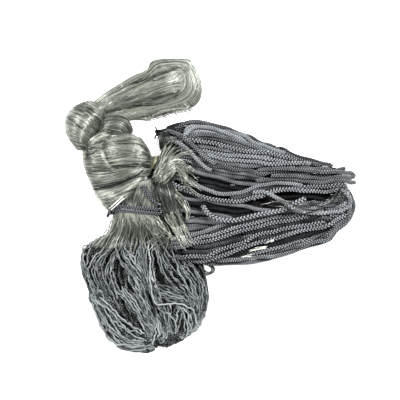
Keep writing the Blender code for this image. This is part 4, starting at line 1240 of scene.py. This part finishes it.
def lock_body(name, lock, surface):
    """The closed mass of the lock: its folded top, and below its rim a rounded side and flat underside."""
    places, _, relief, across, along = surface
    count, kept = places.shape[:2]
    share = (1 - np.cos(math.pi * np.arange(1, UNDER_ROWS + 1) / (UNDER_ROWS + 1))) / 2
    fall = 1 - np.abs(2 * share - 1)[:, None] ** UNDER_SQUARENESS
    if lock.along == "over":
        low = lock.level - 0.3
        fall = fall * (1 - np.abs(np.linspace(-1, 1, kept))[None, :] ** UNDER_SQUARENESS)
    else:
        low = min(lock.level - 0.5, lock.deep * 0.8)
    depth = np.broadcast_to(np.sqrt(fall), (UNDER_ROWS, kept))
    under = places[np.round((1 - share) * (count - 1)).astype(int)]
    middle = places.reshape(-1, 3).mean(0) if lock.along == "over" else places.mean(0)
    under = under + (middle - under) * (UNDER_DRAWN_IN * depth[..., None])
    under[..., 2] = np.maximum(UNDER_CLEAR, lock.level - low * depth)
    grid = np.concatenate([places, under])
    total = len(grid)
    i, j = np.meshgrid(np.arange(total), np.arange(kept - 1), indexing="ij")
    after = (i + 1) % total
    quads = np.stack([i * kept + j, i * kept + j + 1, after * kept + j + 1, after * kept + j], -1)
    ends = [np.arange(total)[::-1] * kept, np.arange(total) * kept + kept - 1]
    lower = np.concatenate([places[-1:], under, places[:1]])
    steps = np.linalg.norm(np.diff(lower, axis=0), axis=2).mean(1)
    girth = np.concatenate([across, across[-1] + steps.cumsum()])
    faces = list(quads.reshape(-1, 4))
    charts = list(quad_chart(along, girth, j, i).reshape(-1, 4, 2))
    for end, column in zip(ends, (0, -1)):
        faces.append(end)
        charts.append(np.column_stack([np.full(total, along[column]), girth[end // kept]]))
    if plan_turn(places) > 0:
        faces = [face[::-1] for face in faces]
        charts = [chart[::-1] for chart in charts]
    mesh = bpy.data.meshes.new(name)
    mesh.from_pydata((grid.reshape(-1, 3) * MM).tolist(), [], [list(map(int, face)) for face in faces])
    mesh.uv_layers.new(name="run").data.foreach_set("uv", np.vstack(charts).ravel())
    # tone: painted light on the tops of the folds and painted shade in their creases, and painted shade on
    # the side and underside, darker towards the table
    spread = relief / (np.abs(relief).max() + 1e-9)
    tone = np.concatenate([lock.tone + FOLD_PAINTED_LIGHT_AND_SHADE * spread.ravel(),
                           lock.tone - UNDER_SHADE * depth.ravel()])
    mesh.attributes.new("tone", "FLOAT", "POINT").data.foreach_set("value", tone)
    mesh.shade_smooth()
    made = bpy.data.objects.new(name, mesh)
    bpy.context.scene.collection.objects.link(made)
    return made


def lock_strands(lock, surface, seed):
    """Single filaments that lie on top of the lock and dive into it at both ends."""
    chance = np.random.default_rng(seed)
    places, normals, *_, along = surface
    rows, columns = places.shape[:2]
    runs, tones = [], []
    for _ in range(lock.strands):
        begin = max(0.0, chance.uniform(-0.5, 0.6))
        finish = min(1.0, begin + chance.uniform(0.35, 1.1))
        count = max(6, round((finish - begin) * along[-1] / 3.0))
        t = np.linspace(begin, finish, count)
        s = chance.uniform(0.04, 0.96) + 0.012 * soft_noise(count, chance.integers(1 << 30), 6)
        row = np.clip(s, 0.0, 1.0) * (rows - 1)
        column = t * (columns - 1)
        i, j = np.minimum(row.astype(int), rows - 2), np.minimum(column.astype(int), columns - 2)
        a, b = (row - i)[:, None], (column - j)[:, None]
        run = ((places[i, j] * (1 - a) + places[i + 1, j] * a) * (1 - b)
               + (places[i, j + 1] * (1 - a) + places[i + 1, j + 1] * a) * b)
        dive = np.minimum(np.arange(count), np.arange(count)[::-1]) / 2.0
        lift = np.minimum(chance.uniform(0.1, 0.75), -0.8 + dive)
        run = run + normals[i, j] * lift[:, None]
        run[:, 2] = np.maximum(run[:, 2], FILAMENT_CLEAR)
        runs.append(run)
        tones.append(lock.tone + chance.normal() * TONE_SPREAD)
    return runs, tones


def lay_over(run, height_under, above):
    """Lays a thin strand over what is below it, taut across the gaps."""
    rest = height_under(run[:, 0], run[:, 1]) + above
    z = rest.copy()
    for _ in range(14):
        z[1:-1] = np.maximum(rest[1:-1], 0.5 * (z[:-2] + z[2:]) - 0.15)
    z[0] -= 3.0 + above  # its root is out of sight
    run[:, 2] = np.maximum(z, FILAMENT_CLEAR)
    return run


def top_of(runs, radius, cell=2.0):
    """A function that tells how high the strands reach at places on the plan."""
    half = 125
    heights = np.zeros((2 * half, 2 * half))
    points = np.vstack(runs)
    x = np.clip((points[:, 0] / cell + half).astype(int), 1, 2 * half - 2)
    y = np.clip((points[:, 1] / cell + half).astype(int), 1, 2 * half - 2)
    for dx in (-1, 0, 1):
        for dy in (-1, 0, 1):
            share = 1.0 if dx == dy == 0 else 0.6
            np.maximum.at(heights, (x + dx, y + dy), points[:, 2] + radius * share)

    def height(at_x, at_y):
        i = np.clip((at_x / cell + half).astype(int), 0, 2 * half - 1)
        j = np.clip((at_y / cell + half).astype(int), 0, 2 * half - 1)
        return heights[i, j]
    return height


def filament_finish(name, dark, light, roughness):
    """Glossy monofilament in a mass: streaks along it, the shine drawn out across it."""
    material = bpy.data.materials.new(name)
    material.use_nodes = True
    tree = material.node_tree
    shader = tree.nodes["Principled BSDF"]
    chart = node(tree, "ShaderNodeUVMap", -1400, 0, uv_map="run")
    stretch = node(tree, "ShaderNodeMapping", -1200, 0)
    stretch.inputs["Scale"].default_value = STREAKS
    tree.links.new(chart.outputs[0], stretch.inputs["Vector"])
    streaks = noise_node(tree, stretch.outputs[0], 1.0, 4.0)
    streaks.inputs["Roughness"].default_value = 0.65
    places = node(tree, "ShaderNodeTexCoord", -1200, -400)
    cloud = noise_node(tree, places.outputs["Object"], 55.0, y=-400)
    tone = node(tree, "ShaderNodeAttribute", -1000, -650, attribute_name="tone")
    # from dark to light: streaks, broad clouds and the tone of the fold or filament, which holds painted
    # light and shade; the whitest end is a painted highlight
    level = math_node(tree, "ADD", math_node(tree, "MULTIPLY", streaks.outputs["Fac"], 1.6),
                      math_node(tree, "MULTIPLY", cloud.outputs["Fac"], 0.5))
    level = math_node(tree, "ADD", level, math_node(tree, "SUBTRACT", tone.outputs["Fac"], 1.03))
    colour_ramp(tree, math_node(tree, "MULTIPLY", level, 0.5),
                ((0.05, dark), (0.45, light), (0.70, light), (1.0, FILAMENT_WHITE)),
                shader.inputs["Base Color"])
    shader.inputs["Roughness"].default_value = roughness
    shader.inputs["Metallic"].default_value = 0.45
    shader.inputs["Specular IOR Level"].default_value = 0.7
    shader.inputs["Anisotropic"].default_value = 0.7
    shader.inputs["Anisotropic Rotation"].default_value = 0.25
    tangent = node(tree, "ShaderNodeTangent", -300, -500, direction_type="UV_MAP", uv_map="run")
    tree.links.new(tangent.outputs[0], shader.inputs["Tangent"])
    bump_node(tree, streaks.outputs["Fac"], 0.8, 0.0006, shader.inputs["Normal"])
    return material


webbing_finish = filament_finish("webbing_monofilament", (0.010, 0.013, 0.010, 1.0),
                                 (0.33, 0.35, 0.30, 1.0), 0.34)
cream_finish = filament_finish("webbing_cream", (0.08, 0.078, 0.045, 1.0), (0.33, 0.32, 0.22, 1.0), 0.5)
surfaces = [lock_surface(lock, 60 + number) for number, lock in enumerate(LOCKS)]
# the tops are 1.5 over the middle of the lead line, 3 over that of the float line, and the locks' own
height_under = top_of([run_through(run, 1.5) - (0, 0, 1.5) for run in lead_runs]
                      + [run_through(run, 1.5) for run in float_runs]
                      + [surface[0].reshape(-1, 3) - (0, 0, 3.0) for surface in surfaces], 3.0)
webbing_pieces = []
for number, (lock, surface) in enumerate(zip(LOCKS, surfaces)):
    webbing_pieces.append(lock_body(f"webbing_{lock.piece}_{number + 1}", lock, surface))
for piece in ("top_bight", "knots", "fans"):
    runs, tones = [], []
    for number, (lock, surface) in enumerate(zip(LOCKS, surfaces)):
        if lock.piece == piece:
            some, shades = lock_strands(lock, surface, 90 + number)
            runs += some
            tones += shades
    webbing_pieces.append(strands(f"webbing_{piece}_filaments", runs, FILAMENT / 2, 3, tones=tones))
chance = np.random.default_rng(8)
runs, tones = [], []
for number, spray in enumerate(SPRAYS):
    for run in band_runs(spray, 300 + number, 2.5, 0.0, 16.0):
        kept = run[chance.integers(0, 4):len(run) - chance.integers(0, len(run) // 3)]
        runs.append(lay_over(kept, height_under, chance.uniform(0.3, 1.6) * spray.bold))
        tones.append(spray.tone + chance.normal() * TONE_SPREAD)
webbing_pieces.append(strands("webbing_loose_filaments", runs, 0.72 * FILAMENT, 3, tones=tones))
for made in webbing_pieces:
    made.data.materials.append(cream_finish if made.name.startswith("webbing_cream") else webbing_finish)
    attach(made, "root")
    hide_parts("webbing")

# ---------------------------------------------------------------------------------------------------
# Tie. Thin braided cord, dark blue and harder laid than the float line, two and a half turns round the
# neck of the webbing; one end comes down from the right, the other is cut off short at the left.
TIE_CORD = 4.2
NECK_MIDDLE = (-93.0, -5.0, 16.5)
NECK_WIDE, NECK_DEEP = 60.0, 18.0
TIE_TURNS = 2.5
TIE_STEPS = 16  # points to a turn
TIE_TURN_PITCH = 5.0  # closer than the solid's, as the turns bed into each other here
TIE_SLOPE = -0.055
TIE_SINK = 0.5  # into the webbing
TIE_LEG_LEVEL = 24.0
TIE_LOOP_STRAND = 2.4  # one strand of the cord, pulled out into a loop beside the leg
TIE_LEG_ROUTE = ((-84, 24), (-80, 17), (-75, 10), (-69, 4))
TIE_LEG_LOOP = ((-72, 20), (-76, 13), (-73, 6), (-67, 3))
TIE_STUB_ROUTE = ((-125, -5, 15), (-127, -9, 13), (-129, -14, 11))
WHITE_ROUTES = (((-126, -4), (-119, 2), (-109, 11)), ((-124, -6), (-117, 0), (-107, 9)))


def evened(run, rounds):
    """Evens out the heights along a strand, a little more with each round."""
    for _ in range(rounds):
        run[1:-1, 2] = 0.25 * run[:-2, 2] + 0.5 * run[1:-1, 2] + 0.25 * run[2:, 2]
    return run


webbing_top = top_of([surface[0].reshape(-1, 3) for surface in surfaces], 0.0)
middle_x, middle_y, middle_z = NECK_MIDDLE
turns = []
for step in range(round(TIE_TURNS * TIE_STEPS) + 1):
    turn = step / TIE_STEPS
    angle = -2 * math.pi * turn
    off = ((NECK_WIDE + TIE_CORD) / 2 - TIE_SINK) * math.cos(angle)
    rise = ((NECK_DEEP + TIE_CORD) / 2 - TIE_SINK) * math.sin(angle)
    along = TIE_TURN_PITCH * (TIE_TURNS / 2 - turn) + TIE_SLOPE * off
    turns.append((middle_x + off, middle_y + along, middle_z + rise))
tie_run = run_through([(x, y, TIE_LEG_LEVEL) for x, y in TIE_LEG_ROUTE] + turns + list(TIE_STUB_ROUTE), 0.8)
over_neck = tie_run[:, 2] > middle_z + 1.0
above = webbing_top(tie_run[:, 0], tie_run[:, 1]) + TIE_CORD / 2 - TIE_SINK
tie_run[over_neck, 2] = np.maximum(tie_run[over_neck, 2], above[over_neck])
tie_run = evened(tie_run, 6)
loop_run = run_through([(x, y, 0.0) for x, y in TIE_LEG_LOOP], 0.8)
loop_run[:, 2] = webbing_top(loop_run[:, 0], loop_run[:, 1]) + TIE_LOOP_STRAND / 2
loop_run = evened(loop_run, 8)
tie = strands("tie_turns", [tie_run, loop_run], [TIE_CORD / 2, TIE_LOOP_STRAND / 2], BRAID_SIDES,
              braid_relief, tones=[0.35, 0.5], bolds=[1.2, 0.8])
tie.data.materials.append(braided_finish("tie_braid", (0.002, 0.002, 0.004, 1.0),
                                         (0.27, 0.275, 0.305, 1.0), BRAID_COLUMNS, BRAID_PITCH,
                                         0.55, 0.0006))
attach(tie, "root")
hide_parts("tie")

# two thick white filaments of the webbing, which come out over the tie's left end
over_tie = top_of([surface[0].reshape(-1, 3) for surface in surfaces] + [tie_run + (0, 0, 0.6)], 1.5)
white_runs = [lay_over(run_through([(x, y, 0.0) for x, y in route], 2.0), over_tie, 0.3)
              for route in WHITE_ROUTES]
white = strands("webbing_white_filaments", white_runs, 1.2 * FILAMENT, 5, tones=[2.2, 2.2])
white.data.materials.append(webbing_finish)
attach(white, "root")
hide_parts("webbing")

# ---------------------------------------------------------------------------------------------------
# Seizing thread. One thin dark thread drawn round the lower bulge, which bites into the webbing.
THREAD = 1.5
THREAD_ROUTE = ((-146, 20), (-140, 21), (-134, 23), (-120, 26), (-104, 31), (-90, 38), (-83, 44))
thread_run = run_through([(x, y, 0.0) for x, y in THREAD_ROUTE], 1.5)
thread_run[:, 2] = webbing_top(thread_run[:, 0], thread_run[:, 1]) + 0.5
thread_run = evened(thread_run, 4)
thread = strands("seizing_thread_turn", [thread_run], THREAD / 2, 8, tones=[0.4])
thread_finish = braided_finish("dark_thread", (0.001, 0.001, 0.001, 1.0), (0.02, 0.02, 0.022, 1.0),
                               BRAID_COLUMNS, 1.2, 0.6, 0.0001)
thread.data.materials.append(thread_finish)
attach(thread, "root")
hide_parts("seizing_thread")

# ---------------------------------------------------------------------------------------------------
# Hanging knot. An overhand knot of dark twine at the corner of the float line hank, and its strand.
KNOT_MIDDLE = (-66.0, 92.0, 5.0)
KNOT_TWINE = 2.6
KNOT_REACH = 1.05  # of the knot's turns, as a share of a threefold loop's own size
KNOT_STRAND = 3.4
KNOT_STRAND_ROUTE = ((-65, 93, 5.0), (-59, 95, 5.5), (-52, 96, 7.0), (-44, 96, 9.0), (-38, 96, 10.0))
KNOT_END = 2.0
KNOT_END_ROUTES = (((-68, 89, 5), (-69.5, 86.5, 3.5), (-70, 84, 1.6)),
                   ((-67, 94, 5), (-68.5, 97, 4.5), (-69, 99, 3.0)))
angle = np.linspace(0.15, 2 * math.pi - 0.15, 60)
knot_run = np.column_stack([
    KNOT_MIDDLE[0] + KNOT_REACH * (np.sin(angle) + 2 * np.sin(2 * angle)),
    KNOT_MIDDLE[1] + KNOT_REACH * (np.cos(angle) - 2 * np.cos(2 * angle)) * 1.2,
    KNOT_MIDDLE[2] - 2.0 * KNOT_REACH * np.sin(3 * angle)])
ends = [run_through(route, 0.8) for route in KNOT_END_ROUTES]
knot = strands("knot_turns", [knot_run, run_through(KNOT_STRAND_ROUTE, 1.0), *ends],
               [KNOT_TWINE / 2, KNOT_STRAND / 2, KNOT_END / 2, KNOT_END / 2], 10, braid_relief,
               tones=[0.5, 0.55, 0.5, 0.5], bolds=[0.6, 0.8, 0.5, 0.5])
knot.data.materials.append(thread_finish)
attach(knot, "root")
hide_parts("line_knot")
